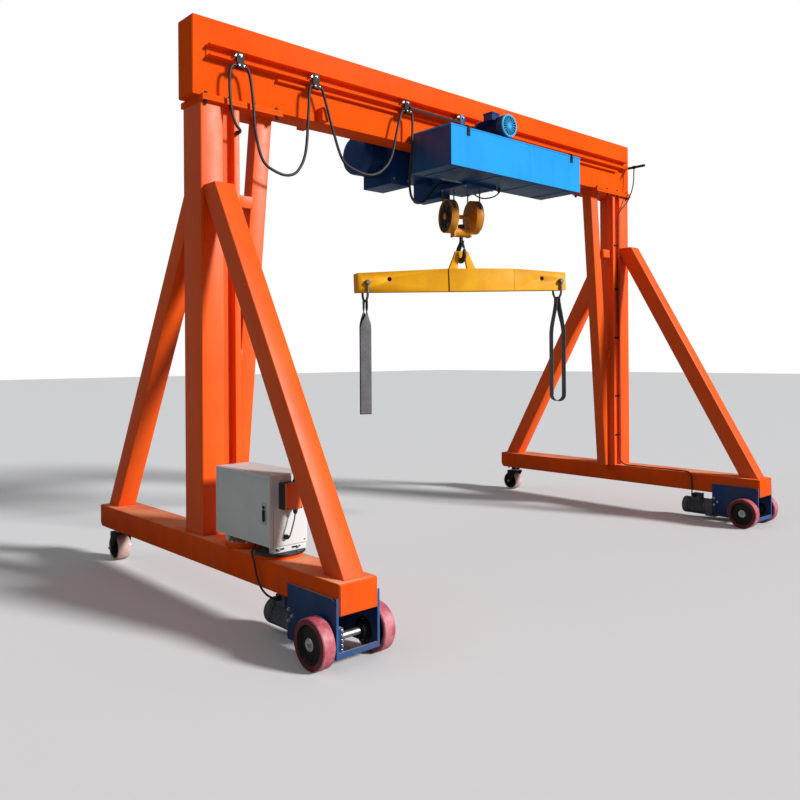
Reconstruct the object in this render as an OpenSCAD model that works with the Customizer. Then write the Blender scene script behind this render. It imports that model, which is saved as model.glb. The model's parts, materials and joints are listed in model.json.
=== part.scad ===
// Gantry crane on two A-shaped legs, with a low-headroom trolley hoist under and beside the girder.
// X runs along the girder, from the leg with the control cabinet to the other leg.
// Y runs from the drive wheels (front) to the casters (rear), and Z is up from the floor.

/* [Portal] */
// Distance between the centre lines of the two base beams
span = 4764; // [4400:10:6000]
// Height of the girder's top above the floor
girder_top = 3765; // [3600:5:4200]
// Depth of the box girder
girder_depth = 510; // [440:5:560]
// Width of the box girder
girder_w = 196; // [170:1:230]
// Girder length past the outer face of each column
girder_over = 40; // [30:1:80]

/* [Running rails] */
// Height of the rail channels
rail_h = 80; // [72:1:90]
// Depth of the rail channels
rail_d = 60; // [50:1:75]
// Thickness of the rail channels' web and flanges
rail_t = 10; // [6:1:12]
// Rail underside above the girder's underside
rail_lift = 250; // [200:1:280]
// Distance from the girder's end to the rail's end
rail_short = 90; // [50:1:200]
// Thickness of the square bar below each rail
lip_t = 16; // [10:1:20]
// Gap between the rail and the bar below it
lip_gap = 28; // [20:1:40]

/* [Legs] */
// Length of each base beam
base_len = 3028; // [2700:2:3600]
// Width of each base beam
base_w = 253; // [230:1:280]
// Height of each base beam
base_h = 165; // [140:1:200]
// Underside of the base beams above the floor
base_clear = 272; // [265:1:290]
// Distance of the columns behind the middle of the base beams
column_shift = 54; // [0:1:56]
// Width of the main column along X
col_w = 165; // [140:1:180]
// Depth of the main column along Y
col_d = 237; // [200:1:260]
// Distance of the column's outer face inside the base beam's side
col_inset = 34; // [10:1:50]
// Gap between the main column and the inner post
post_gap = 77; // [60:1:90]
// Width of the inner post along X
post_w = 42; // [30:1:50]
// Thickness of the plate that joins the post to the column
web_t = 12; // [8:1:16]
// Width of the sloping strut along X
strut_w = 122; // [100:1:140]
// Depth of the strut along Y
strut_d = 105; // [90:1:120]
// Gap between the post and the strut at the top
strut_gap = 174; // [120:1:200]
// How far the strut leans out from top to base
strut_lean = 234; // [200:1:250]
// Height of the rungs
rung_h = 82; // [60:1:100]
// Depth of the rungs
rung_d = 86; // [60:1:90]
// Height of the lower rung's middle
rung_low = 1582; // [1400:1:1700]
// Height of the upper rung's middle
rung_high = 2612; // [2400:1:2700]
// Width of the braces along X
brace_w = 140; // [110:1:160]
// Level width of the braces in the plane of the leg
brace_run = 170; // [140:1:200]
// Height at which the braces are cut level
brace_top = 2680; // [2500:5:2750]
// Distance from a brace's foot to the base beam's end
foot_inset = 33; // [10:1:60]
// Thickness of each bolted flange plate
plate_t = 20; // [12:1:25]
// Width of the flange plates along Y
plate_w = 300; // [280:1:340]
// Flange plate past the strut's inner side
plate_over = 26; // [10:1:60]

/* [Drive ends] */
// Diameter of the driven wheels
wheel_d = 264; // [240:2:280]
// Width of the driven wheels
wheel_w = 76; // [60:1:90]
// Thickness of the polyurethane tread
tread_t = 16; // [8:1:22]
// Distance from the base beam's front end to the wheel axle
axle_inset = 113; // [95:1:140]
// Diameter of the wheel axle
axle_d = 40; // [30:1:50]
// Thickness of the side plates
side_t = 16; // [10:1:20]
// Gap between a side plate and its wheel
wheel_gap = 17; // [10:1:25]
// Length of the side plates
side_len = 430; // [400:1:480]
// Overlap of the side plates on the base beam
side_lap = 88; // [60:1:110]
// Lowest edge of the side plates above the floor
side_clear = 62; // [50:1:90]
// Diameter of the travel motors
motor_d = 158; // [130:1:166]
// Length of the travel motors
motor_len = 233; // [200:1:300]
// Side of the square gearbox on the motor
gear_side = 150; // [146:1:170]
// Length of the gearbox
gear_len = 112; // [100:1:180]

/* [Casters] */
// Diameter of the caster wheels
caster_d = 200; // [180:2:205]
// Width of the caster wheels
caster_w = 100; // [80:1:110]
// Distance from the base beam's rear end to the swivel axis
caster_inset = 110; // [100:1:150]
// Trail from the swivel axis to the wheel axle
caster_trail = 45; // [35:1:60]
// Thickness of the fork plates
fork_t = 8; // [6:1:10]
// Gap between the caster wheel and the fork
fork_gap = 6; // [4:1:10]
// Side of the square mounting plate
caster_plate = 140; // [120:1:170]

/* [Control cabinet] */
// Width of the cabinet along Y
cab_w = 600; // [500:5:650]
// Height of the cabinet
cab_h = 400; // [350:5:500]
// Depth of the cabinet along X
cab_d = 250; // [220:5:255]
// Distance from the base beam's front end to the cabinet
cab_inset = 620; // [560:5:660]
// Thickness of the cabinet's walls
cab_wall = 4; // [3:0.5:6]
// Thickness of the cabinet's door
door_t = 20; // [14:1:25]
// Gap between the door and the cabinet
door_gap = 2; // [1:0.5:4]
// Height of the rails under the cabinet
cab_rail_h = 40; // [30:1:50]
// Diameter of the round pedestals
pedestal_d = 260; // [200:2:270]
// Diameter of the rubber disc on the front pedestal
disc_d = 290; // [240:2:310]
// Height of the pedestals
pedestal_h = 20; // [14:1:30]
// Thickness of the rubber disc
disc_t = 14; // [10:1:20]

/* [Trolley] */
// Length of the front box
box_len = 1640; // [1500:5:1700]
// Depth of the front box along Y
box_d = 435; // [380:5:460]
// Height of the front box
box_h = 318; // [280:1:340]
// Underside of the trolley above the floor
box_z = 3012; // [3000:1:3030]
// Gap between the trolley and the girder's side
side_gap = 20; // [15:1:30]
// Middle of the trolley along the girder
trolley_x = 180; // [150:5:210]
// Depth of the rear hoist body along Y
rear_d = 350; // [320:5:420]
// Length of the rear hoist body
rear_len = 1230; // [1215:5:1600]
// Length of the gearbox at the rear body's left end
gearbox_len = 220; // [150:5:260]
// Diameter of the round hoist motor on the gearbox
hoist_motor_d = 320; // [260:5:330]
// Length of the hoist motor
hoist_motor_len = 250; // [200:5:300]
// Diameter of the trolley wheels
roller_d = 56; // [50:1:58]
// Distance between the trolley's wheels
roller_base = 600; // [560:5:760]
// Diameter of the trolley motor
tmotor_d = 190; // [150:1:200]
// Length of the trolley motor
tmotor_len = 330; // [280:1:350]

/* [Hook block] */
// Middle of the hook block along the girder
hook_x = 50; // [30:1:70]
// Turn of the hook block and spreader about the vertical
hook_turn = -21; // [-60:1:60]
// Height of the sheave axle above the floor
sheave_z = 2766; // [2750:1:2780]
// Diameter of the sheaves
sheave_d = 258; // [240:2:290]
// Width of each sheave
sheave_w = 50; // [40:1:60]
// Distance between the sheaves' middles
sheave_pitch = 240; // [200:1:250]
// Thickness of the sheave covers
cover_t = 8; // [5:1:10]
// Diameter of the wire rope
rope_d = 12; // [8:1:14]
// Inner radius of the hook's bowl
bowl_r = 42; // [38:1:48]
// Thickness of the hook
hook_t = 44; // [38:1:46]

/* [Spreader] */
// Length of the long arm, from the hook
arm_long = 1000; // [900:5:1200]
// Length of the short arm, from the hook
arm_short = 963; // [900:5:1200]
// Height of the beam in the middle
beam_h = 192; // [170:1:210]
// Height of the beam at its ends
beam_end_h = 156; // [120:1:165]
// Width of the beam
beam_w = 110; // [90:1:130]
// Thickness of the sleeve plates on the beam's middle
sleeve_t = 8; // [5:1:12]
// Lean of the beam from level
beam_tilt = 1.9; // [0:0.1:4]
// Thickness of the lifting lug
lug_t = 26; // [20:1:30]
// Diameter of the spare sling holes
sling_hole_d = 36; // [30:1:40]
// Width of the web slings
sling_w = 120; // [80:1:140]
// Thickness of the web slings
sling_t = 8; // [5:1:10]
// Hanging length of the web slings
sling_len = 915; // [800:5:1000]

/* [Hidden] */
$fn = 64;

// Colours
orange = [0.95, 0.33, 0.06];
navy = [0.06, 0.22, 0.42];
blue = [0.20, 0.55, 0.90];
yellow = [0.95, 0.68, 0.10];
amber = [0.85, 0.50, 0.10];
grey = [0.80, 0.80, 0.80];
slate = [0.38, 0.44, 0.50];
black = [0.06, 0.06, 0.06];
steel = [0.65, 0.65, 0.67];
pink = [0.80, 0.30, 0.36];

// Frame: the part's box is centred on X and Y
leg_x = span / 2;
wheel_r = wheel_d / 2;
caster_r = caster_d / 2;
front_out = wheel_r - axle_inset;
rear_out = caster_trail + caster_r - caster_inset;
base_mid = (front_out - rear_out) / 2;
front_y = base_mid - base_len / 2;
rear_y = base_mid + base_len / 2;
base_top = base_clear + base_h;
base_side = leg_x + base_w / 2;

// Legs
column_y = base_mid + column_shift;
col_front = column_y - col_d / 2;
col_rear = column_y + col_d / 2;
col_out = base_side - col_inset;
col_in = col_out - col_w;
post_out = col_in - post_gap;
post_in = post_out - post_w;
post_rear = column_y - strut_d / 2;
girder_z = girder_top - girder_depth;
leg_z = girder_z - 2 * plate_t;
strut_top_out = post_in - strut_gap;
strut_slope = strut_lean / (leg_z - base_top);
plate_in = strut_top_out - strut_w - plate_over;
brace_tip = 24;
brace_lean = (rear_y - foot_inset - col_rear - brace_tip) / (brace_top - base_top);
rung_front = column_y - rung_d;

// Girder and rails
girder_half = col_out + girder_over;
girder_front = column_y - girder_w / 2;
girder_rear = column_y + girder_w / 2;
rail_z = girder_z + rail_lift;
rail_half = girder_half - rail_short;
rail_floor = rail_z + rail_t;
stop_x = 1482;
stop_len = 60;
stop_h = 95;
stop_d = 65;

// Drive ends
axle_y = front_y + axle_inset;
bracket_front = front_y + 5;
bracket_rear = bracket_front + side_len;
bracket_half = base_w / 2 + side_t;
wheel_in = bracket_half + wheel_gap;
motor_drop = 22;
motor_z = wheel_r - motor_drop;

// Casters
swivel_y = rear_y - caster_inset;
caster_plate_t = 10;
crown_t = 12;
crown_z = caster_d + 10;

// Cabinet
cab_out = -base_side;
cab_y0 = front_y + cab_inset;
cab_y1 = cab_y0 + cab_w;
cab_z0 = base_top + pedestal_h + disc_t + cab_rail_h;
cab_z1 = cab_z0 + cab_h;
hinge_d = 12;

// Trolley
box_x0 = trolley_x - box_len / 2;
box_rear = girder_front - side_gap;
box_front = box_rear - box_d;
box_top = box_z + box_h;
rear_reach = 810;
rear_x0 = trolley_x - rear_reach;
rear_front = girder_rear + 2 * side_gap;
rear_rear = rear_front + rear_d;
rear_z = 2985;
rear_top = 3350;
drum_z = 3100;
deck_z = 2985;
deck_top = 3060;

// Festoon
cable_d = 20;
cable_out = 85;
cable_y = girder_front - cable_out;
clamp_x = -2220;
carrier_x = -1612;
tow_x = -740;
pulley_d = 46;

// Hook block
cover_r = sheave_d / 2 + cover_t + 6;
hook_drop = 170;
hook_z = sheave_z - cover_r - hook_drop;
beam_z = 2126;

// Clearances of a seated cord or rope, and of a shaft in its bore on the diameter
seat_gap = 0.3;
run_gap = 0.2;

// Fixed sizes of the rails, ends and arm
lip_start = 530;
lip_end = 150;
lip_d = 30;
arm_len = 220;
arm_inset = 45;
arm_z = 3530;
arm_d = 26;
base_chamfer = 26;

// Cabinet fittings
hinge_x = cab_out + door_t + door_gap / 2;
hinge_y = cab_y1 + hinge_d / 2 + 1;
hinge_end = 40;
knuckle_h = 30;
pin_d = 5;
handle_t = 3;
handle_w = 30;
handle_h = 110;
handle_inset = 45;
handle_low = 130;
pedestal_front = 95;
pedestal_rear = 150;
receiver_x = 55;
receiver_w = 110;
receiver_d = 80;
receiver_h = 150;
receiver_low = 210;
cab_rail_front = 10;
cab_rail_rear = 110;
gland_d = 32;
gland_len = 20;
gland_z = 3050;
near_gland_x = -2440;
near_gland_y = -640;
side_gland_x = -2408;
side_gland_z = 560;

// Drive fittings
corner = 34;
tie_t = 12;
tie_h = 30;
housing_w = 66;
housing_r = 62;
terminal_w = 90;
terminal_h = 38;
terminal_y = bracket_rear + gear_len + 60;

// Caster fittings
bearing_d = 90;
kingpin_d = 30;
crown_front = 46;
crown_rear = 30;
fork_r = 26;
caster_pin_d = 20;
nut_t = 12;
nut_d = 30;

// Festoon and trolley fittings
hanger_front = girder_front - rail_d - 30;
hanger_t = 8;
hanger_w = 60;
hanger_pin_d = 14;
clamp_half = 28;
clamp_z = 3470;
clamp_h = 30;
clamp_d = 36;
thin_cable_d = 12;
lead_d = 8;
deck_x0 = -130;
deck_x1 = 240;
deck_d = 118;
tail_x0 = -50;
tail_x1 = 85;
tail_z = 2945;
tail_inset = 26;
hoist_gland_y = 45;
hoist_gland_z = 3020;
hoist_motor_y = 378;
hoist_motor_z = 3215;
beam_half = 40;
cross_z = 3060;
cross_h = 80;
motor_x = 82;
motor_edge = 30;
motor_foot = 20;
foot_side = 15;
foot_front = 60;
foot_rear = 40;
motor_box_side = 20;
motor_box_front = 90;
motor_box_w = 100;
motor_box_rise = 20;

// Hook block and spreader fittings
slot_half = 20;
groove_half = 9;
groove_deep = 22;
rope_r = sheave_d / 2 - groove_deep + rope_d / 2 + seat_gap;
sheave_pin_d = 36;
cheek_t = 16;
cheek_half = 40;
cheek_up = 40;
head_up = 179;
head_z = hook_z + head_up;
head_d = 80;
head_nut_d = 58;
head_nut_h = 28;
shank_d = 34;
hook_sweep = 295;
sleeve_left = -150;
sleeve_right = 470;
lug_half = 128;
lug_top_half = 58;
lug_foot_half = 45;
lug_hole_half = 28;
lug_rise = 19;
lug_hole_top = hook_z - sqrt(pow(bowl_r, 2) - pow(lug_t / 2, 2)) + seat_gap;
lug_top = hook_z + lug_rise;
spare_up = 105;
spare_holes = [-arm_short + 275, arm_long - 245];
pin_up = 80;
shackle_places = [-arm_short + 80, arm_long - 55];
shackle_pin_d = 24;
shackle_d = 20;
shackle_leg = 84;
shackle_r = beam_w / 2 + 2 + shackle_d / 2;

// Routes, chosen by hand
loop_1_route = [[-2191.7, 3470], [-2181, 3470], [-2162, 3458], [-2142, 3390], [-2124, 3250], [-2106, 3050],
    [-2050, 2880], [-1945, 2822], [-1845, 2815], [-1765, 2865], [-1705, 3000], [-1680, 3260], [-1672, 3400],
    [-1664, 3456], [-1651, 3470], [-1640.3, 3470]];
loop_2_route = [[-1583.7, 3470], [-1573, 3470], [-1554, 3450], [-1512, 3330], [-1458, 3170], [-1375, 2990],
    [-1250, 2935], [-1110, 2925], [-990, 2985], [-905, 3100], [-850, 3300], [-806, 3440], [-779, 3470],
    [-768.3, 3470]];
leg_route = [[-2248.3, -137, 3470], [-2260, -137, 3470], [-2282, -137, 3456], [-2297, -137, 3410],
    [-2299, -137, 3300], [-2286, -137, 3170], [-2258, -137, 3090], [-2226, -133, 3058], [-2211.5, -112, 3050],
    [-2211.5, -92.8, 3050]];
hoist_route = [[-711.7, -137, 3470], [-702, -137, 3470], [-690, -137, 3452], [-686, -137, 3380],
    [-694, -137, 3200], [-718, -136, 3000], [-712, -130, 2880], [-672, -112, 2812], [-590, -80, 2790],
    [-480, -40, 2822], [-370, 0, 2890], [-270, 34, 2972], [-205, 43, 3012], [-165, 45, 3020],
    [-150.3, 45, 3020]];
near_motor_route = [[-2440, -640, 490.7], [-2440, -640, 480], [-2462, -662, 464], [-2512, -712, 452],
    [-2534, -775, 410], [-2534, -800, 340], [-2526, -832, 280], [-2500, -856, 238], [-2462, -868, 213],
    [-2443, -870, 210], [-2427.3, -870, 210]];
far_motor_route = [[2469.5, -150, 3516.7], [2469.5, -150, 3500], [2462, -148, 3380], [2436, -142, 3280],
    [2380, -122, 3160], [2300, -94, 3070], [2262, -83, 2980], [2258, -82, 2860], [2258, -82, 2600],
    [2258, -82, 1800], [2258, -82, 1000], [2258, -82, 700], [2258, -84, 560], [2258, -100, 484],
    [2260, -150, 449], [2262, -230, 446], [2262, -400, 446], [2262, -560, 446], [2262, -720, 446],
    [2258, -800, 447], [2250, -850, 440], [2243, -880, 400], [2243, -885, 300], [2256, -880, 244],
    [2290, -872, 215], [2320, -870, 210], [2336.7, -870, 210]];
receiver_route = [[-2370, -945, 720.7], [-2370, -945, 706], [-2377, -947, 665], [-2396, -949, 610],
    [-2407, -944, 572], [-2408, -934, 560], [-2408, -922.3, 560]];
box_route = [[325, -145, 3011.7], [325, -145, 3000], [321, -138, 2974], [306, -105, 2952], [288, -50, 2944],
    [270, 5, 2950], [256, 52, 2974], [250, 72, 2994], [247, 75, 3000], [240.3, 75, 3000]];

function unit(v) = v / norm(v);
function blend_point(a, b, c, d, t) =
    0.5 * ((2 * b) + (c - a) * t + (2 * a - 5 * b + 4 * c - d) * t * t + (3 * b - 3 * c + d - a) * t * t * t);

// Points between those of a route, k to each stretch; its first and last stretch stay straight
function smooth(p, k) = concat(
    [p[0]],
    [for (i = [1:len(p) - 3], j = [0:k - 1]) blend_point(p[i - 1], p[i], p[i + 1], p[i + 2], j / k)],
    [p[len(p) - 2], p[len(p) - 1]]);
function heading(p, i) = unit(p[min(i + 1, len(p) - 1)] - p[max(i - 1, 0)]);
function ring(c, t, side, r, n) =
    let (b = unit(cross(t, side)), m = cross(b, t))
    [for (k = [0:n - 1]) c + r * (cos(360 * k / n) * b + sin(360 * k / n) * m)];

// A round cable swept along a route; side is a direction that the route never follows
module cable(route, d, side, n = 8) {
    count = len(route);
    points = [for (i = [0:count - 1]) each ring(route[i], heading(route, i), side, d / 2, n)];
    walls = [for (i = [0:count - 2], k = [0:n - 1])
        [i * n + k, (i + 1) * n + k, (i + 1) * n + (k + 1) % n, i * n + (k + 1) % n]];
    caps = [[for (k = [0:n - 1]) k], [for (k = [n - 1:-1:0]) (count - 1) * n + k]];
    polyhedron(points = points, faces = concat(walls, caps), convexity = 6);
}

// A block between two corners
module block(x0, x1, y0, y1, z0, z1) {
    translate([x0, y0, z0])
        cube([x1 - x0, y1 - y0, z1 - z0]);
}

// An outline drawn in Y and Z, extruded along X
module along_x(x0, x1) {
    translate([x0, 0, 0])
        rotate([90, 0, 90])
            linear_extrude(x1 - x0)
                children();
}

// An outline drawn in X and Z, extruded along Y
module along_y(y0, y1) {
    translate([0, y1, 0])
        rotate([90, 0, 0])
            linear_extrude(y1 - y0)
                children();
}

// A round bar along X or Y, given by its middle line
module bar_x(x0, x1, y, z, d) {
    translate([x0, y, z])
        rotate([0, 90, 0])
            cylinder(d = d, h = x1 - x0);
}

module bar_y(y0, y1, x, z, d) {
    translate([x, y1, z])
        rotate([90, 0, 0])
            cylinder(d = d, h = y1 - y0);
}

// The same piece at both legs: drawn for the far leg and mirrored to the near one
module both_legs() {
    children();
    mirror([1, 0, 0])
        children();
}

// The same piece in front of and behind the girder
module both_sides() {
    children();
    translate([0, 2 * column_y, 0])
        mirror([0, 1, 0])
            children();
}

module girder() {
    color(orange)
        block(-girder_half, girder_half, girder_front, girder_rear, girder_z, girder_top);
}

module plate_at(z) {
    both_legs()
        block(plate_in, col_out, column_y - plate_w / 2, column_y + plate_w / 2, z, z + plate_t);
}

module flange_plates() {
    color(orange)
        plate_at(girder_z - plate_t);
}

module leg_top_plates() {
    color(orange)
        plate_at(leg_z);
}

// Each rail is a channel that opens away from the girder: its web, with a square bar welded below it
module rail_webs() {
    lip_z = rail_z - lip_gap - lip_t;
    color(orange)
        both_sides() {
            block(-rail_half, rail_half, girder_front - rail_t, girder_front, rail_z, rail_z + rail_h);
            block(-rail_half + lip_start, rail_half - lip_end, girder_front - lip_d, girder_front,
                lip_z, lip_z + lip_t);
        }
}

// The rails' flanges: the wheels run on the lower ones
module rail_flanges() {
    color(orange)
        both_sides()
            for (z = [rail_z, rail_z + rail_h - rail_t])
                block(-rail_half, rail_half, girder_front - rail_d, girder_front - rail_t, z, z + rail_t);
}

module end_stops() {
    color(orange)
        both_legs()
            both_sides()
                block(stop_x, stop_x + stop_len, girder_front - stop_d, girder_front,
                    girder_z, girder_z + stop_h);
}

module cable_arm() {
    color(black)
        bar_y(girder_front - arm_len, girder_front, girder_half - arm_inset, arm_z, arm_d);
}

module base_beams() {
    color(orange)
        both_legs()
            along_x(leg_x - base_w / 2, base_side)
                polygon([
                    [front_y, base_clear],
                    [rear_y - base_chamfer, base_clear],
                    [rear_y, base_clear + base_chamfer],
                    [rear_y, base_top],
                    [front_y, base_top]
                ]);
}

module columns() {
    color(orange)
        both_legs()
            block(col_in, col_out, col_front, col_rear, base_top, leg_z);
}

// A narrow post, joined to the column by a plate along its rear edge
module inner_posts() {
    color(orange)
        both_legs() {
            block(post_in, post_out, col_front, post_rear, base_top, leg_z);
            block(post_out, col_in, post_rear - web_t, post_rear, base_top, leg_z);
        }
}

module struts() {
    color(orange)
        both_legs()
            along_y(column_y - strut_d / 2, column_y + strut_d / 2)
                polygon([
                    [strut_top_out - strut_w, leg_z],
                    [strut_top_out, leg_z],
                    [strut_top_out + strut_lean, base_top],
                    [strut_top_out + strut_lean - strut_w, base_top]
                ]);
}

function strut_face(z) = strut_top_out + (leg_z - z) * strut_slope;

module rungs() {
    color(orange)
        both_legs()
            for (z = [rung_low, rung_high])
                along_y(rung_front, rung_front + rung_d)
                    polygon([
                        [post_in, z - rung_h / 2],
                        [post_in, z + rung_h / 2],
                        [strut_face(z + rung_h / 2), z + rung_h / 2],
                        [strut_face(z - rung_h / 2), z - rung_h / 2]
                    ]);
}

// A brace's outline: foot is its outer edge on the base beam, wall is the column's face, s points to the column
module brace_outline(foot, wall, s) {
    reach = brace_top - base_top;
    polygon([
        [foot, base_top],
        [foot + s * brace_run, base_top],
        [wall, base_top + (s * (wall - foot) - brace_run) / brace_lean],
        [wall, brace_top],
        [foot + s * reach * brace_lean, brace_top]
    ]);
}

module braces() {
    color(orange)
        both_legs()
            along_x(leg_x - brace_w / 2, leg_x + brace_w / 2) {
                brace_outline(front_y + foot_inset, col_front, 1);
                brace_outline(rear_y - foot_inset, col_rear, -1);
            }
}

// Hinge knuckles on the cabinet's rear side, with s -1 for the door's and 1 for the cabinet's
module knuckle(z, s) {
    translate([hinge_x, hinge_y, z])
        cylinder(d = hinge_d, h = knuckle_h);
    block(min(hinge_x + s, hinge_x + s * hinge_d), max(hinge_x + s, hinge_x + s * hinge_d),
        cab_y1, hinge_y, z, z + knuckle_h);
}

module cabinet() {
    color(grey) {
        difference() {
            block(cab_out + door_t + door_gap, cab_out + cab_d, cab_y0, cab_y1, cab_z0, cab_z1);
            block(cab_out, cab_out + cab_d - cab_wall, cab_y0 + cab_wall, cab_y1 - cab_wall,
                cab_z0 + cab_wall, cab_z1 - cab_wall);
        }
        for (z = [cab_z0 + hinge_end, cab_z1 - hinge_end - knuckle_h])
            knuckle(z, 1);
        for (z = [cab_z0 + hinge_end, cab_z1 - hinge_end - 2 * knuckle_h - 1])
            translate([hinge_x, hinge_y, z])
                cylinder(d = pin_d, h = 2 * knuckle_h + 1);
    }
}

module cabinet_door() {
    color(grey)
        difference() {
            union() {
                block(cab_out, cab_out + door_t, cab_y0, cab_y1, cab_z0, cab_z1);
                for (z = [cab_z0 + hinge_end + knuckle_h + 1, cab_z1 - hinge_end - 2 * knuckle_h - 1])
                    knuckle(z, -1);
            }
            translate([hinge_x, hinge_y, cab_z0])
                cylinder(d = pin_d + run_gap, h = cab_h);
        }
    color(black)
        block(cab_out - handle_t, cab_out, cab_y0 + handle_inset, cab_y0 + handle_inset + handle_w,
            cab_z0 + handle_low, cab_z0 + handle_low + handle_h);
}

module cabinet_rails() {
    color(grey)
        for (y = [cab_y0 + cab_rail_front, cab_y1 - cab_rail_rear])
            block(cab_out + door_t + door_gap, cab_out + cab_d, y, y + cab_rail_h,
                cab_z0 - cab_rail_h, cab_z0);
}

module pedestals() {
    color(orange) {
        translate([-leg_x, cab_y0 + pedestal_front, base_top])
            cylinder(d = pedestal_d, h = pedestal_h);
        translate([-leg_x, cab_y1 - pedestal_rear, base_top])
            cylinder(d = pedestal_d, h = pedestal_h + disc_t);
    }
}

module cabinet_disc() {
    color(black)
        translate([-leg_x, cab_y0 + pedestal_front, base_top + pedestal_h])
            cylinder(d = disc_d, h = disc_t);
}

module radio_receiver() {
    color(orange)
        block(cab_out + receiver_x, cab_out + receiver_x + receiver_w, cab_y0 - receiver_d, cab_y0,
            cab_z0 + receiver_low, cab_z0 + receiver_low + receiver_h);
}

// Glands where cables enter the inner post and the cabinet's underside and front end
module cable_glands() {
    color(black) {
        bar_y(col_front - gland_len, col_front, -(post_in + post_out) / 2, gland_z, gland_d);
        translate([near_gland_x, near_gland_y, cab_z0 - gland_len])
            cylinder(d = gland_d, h = gland_len);
        bar_y(cab_y0 - gland_len, cab_y0, side_gland_x, side_gland_z, gland_d);
    }
}

// Two side plates beside a base beam, with a tie at the front and the motor's plate at the rear
module drive_brackets() {
    top = base_clear + side_lap;
    color(navy)
        both_legs() {
            for (x = [leg_x - bracket_half, leg_x + base_w / 2])
                difference() {
                    along_x(x, x + side_t)
                        polygon([
                            [bracket_front, side_clear],
                            [bracket_rear, side_clear],
                            [bracket_rear, top],
                            [bracket_front + corner, top],
                            [bracket_front, top - corner]
                        ]);
                    bar_x(x - 1, x + side_t + 1, axle_y, wheel_r, axle_d + run_gap);
                }
            block(leg_x - base_w / 2, leg_x + base_w / 2, bracket_front, bracket_front + tie_t,
                side_clear, side_clear + tie_h);
            block(leg_x - base_w / 2, leg_x + base_w / 2, bracket_rear - tie_t, bracket_rear,
                side_clear, base_clear);
        }
}

// Housings of the final gears, bored for the wheel axles
module gear_housings() {
    color(navy)
        for (x = [-leg_x, leg_x])
            difference() {
                block(x - base_w / 2, x - base_w / 2 + housing_w, axle_y - housing_r, bracket_rear - tie_t,
                    wheel_r - housing_r, wheel_r + housing_r);
                bar_x(x - base_w / 2 - 1, x - base_w / 2 + housing_w + 1, axle_y, wheel_r, axle_d + run_gap);
            }
}

module travel_motors() {
    color(slate)
        for (x = [-leg_x, leg_x]) {
            block(x - gear_side / 2, x + gear_side / 2, bracket_rear, bracket_rear + gear_len,
                motor_z - gear_side / 2, motor_z + gear_side / 2);
            bar_y(bracket_rear + gear_len, bracket_rear + gear_len + motor_len, x, motor_z, motor_d);
            block(x - terminal_w / 2, x + terminal_w / 2, terminal_y, terminal_y + terminal_w,
                motor_z, motor_z + motor_d / 2 + terminal_h);
        }
}

// One axle with a wheel at each end, at x along the girder
module wheel_pair(x) {
    reach = wheel_in + wheel_w;
    color(steel)
        bar_x(x - reach, x + reach, axle_y, wheel_r, axle_d);
    for (s = [-1, 1]) {
        inner = x + s * wheel_in;
        outer = x + s * reach;
        collar = x + s * (bracket_half + 1);
        color(pink)
            bar_x(min(inner, outer), max(inner, outer), axle_y, wheel_r, wheel_d);
        color(black)
            bar_x(min(inner, collar), max(inner, collar), axle_y, wheel_r, axle_d + 24);
    }
}

module near_wheels() {
    wheel_pair(-leg_x);
}

module far_wheels() {
    wheel_pair(leg_x);
}

// Mounting plates and swivel bearings of the casters, bored for the kingpins
module caster_plates() {
    color(black)
        for (x = [-leg_x, leg_x])
            difference() {
                union() {
                    block(x - caster_plate / 2, x + caster_plate / 2,
                        swivel_y - caster_plate / 2, swivel_y + caster_plate / 2,
                        base_clear - caster_plate_t, base_clear);
                    translate([x, swivel_y, crown_z + crown_t + 1])
                        cylinder(d = bearing_d, h = base_clear - caster_plate_t - crown_z - crown_t - 1);
                }
                translate([x, swivel_y, crown_z])
                    cylinder(d = kingpin_d + run_gap, h = base_clear - crown_z - 4);
            }
}

module caster_fork(x) {
    half = caster_w / 2 + fork_gap;
    axle = swivel_y + caster_trail;
    color(black) {
        block(x - half - fork_t, x + half + fork_t, swivel_y - crown_front, axle + crown_rear,
            crown_z, crown_z + crown_t);
        translate([x, swivel_y, crown_z])
            cylinder(d = kingpin_d, h = base_clear - crown_z - 8);
        for (x0 = [x - half - fork_t, x + half])
            along_x(x0, x0 + fork_t) {
                polygon([
                    [swivel_y - crown_front, crown_z],
                    [axle - fork_r, caster_r],
                    [axle + fork_r, caster_r],
                    [axle + crown_rear, crown_z]
                ]);
                translate([axle, caster_r])
                    circle(r = fork_r);
            }
        bar_x(x - half - fork_t - nut_t, x + half + fork_t + nut_t, axle, caster_r, caster_pin_d);
        for (x0 = [x - half - fork_t - nut_t, x + half + fork_t])
            bar_x(x0, x0 + nut_t, axle, caster_r, nut_d);
    }
}

module near_caster_fork() {
    caster_fork(-leg_x);
}

module far_caster_fork() {
    caster_fork(leg_x);
}

module caster_wheel(x) {
    axle = swivel_y + caster_trail;
    color(pink)
        difference() {
            bar_x(x - caster_w / 2, x + caster_w / 2, axle, caster_r, caster_d);
            bar_x(x - caster_w / 2 - 1, x + caster_w / 2 + 1, axle, caster_r, caster_pin_d + run_gap);
        }
}

module near_caster_wheel() {
    caster_wheel(-leg_x);
}

module far_caster_wheel() {
    caster_wheel(leg_x);
}

// A roller in the front rail, with a hanger outside it and a cable clamp below
module festoon_hanger(x) {
    color(grey)
        bar_y(girder_front - rail_d + 6, girder_front - rail_t - 12, x, rail_floor + pulley_d / 2 + seat_gap, pulley_d);
    color(black) {
        bar_y(hanger_front, girder_front - rail_d + 6, x, rail_floor + pulley_d / 2 + seat_gap, hanger_pin_d);
        block(x - clamp_half, x + clamp_half, hanger_front, hanger_front + hanger_t,
            clamp_z - clamp_h / 2, rail_floor + pulley_d);
        block(x - clamp_half, x + clamp_half, cable_y - clamp_d / 2, cable_y + clamp_d / 2,
            clamp_z - clamp_h / 2, clamp_z + clamp_h / 2);
    }
}

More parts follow.
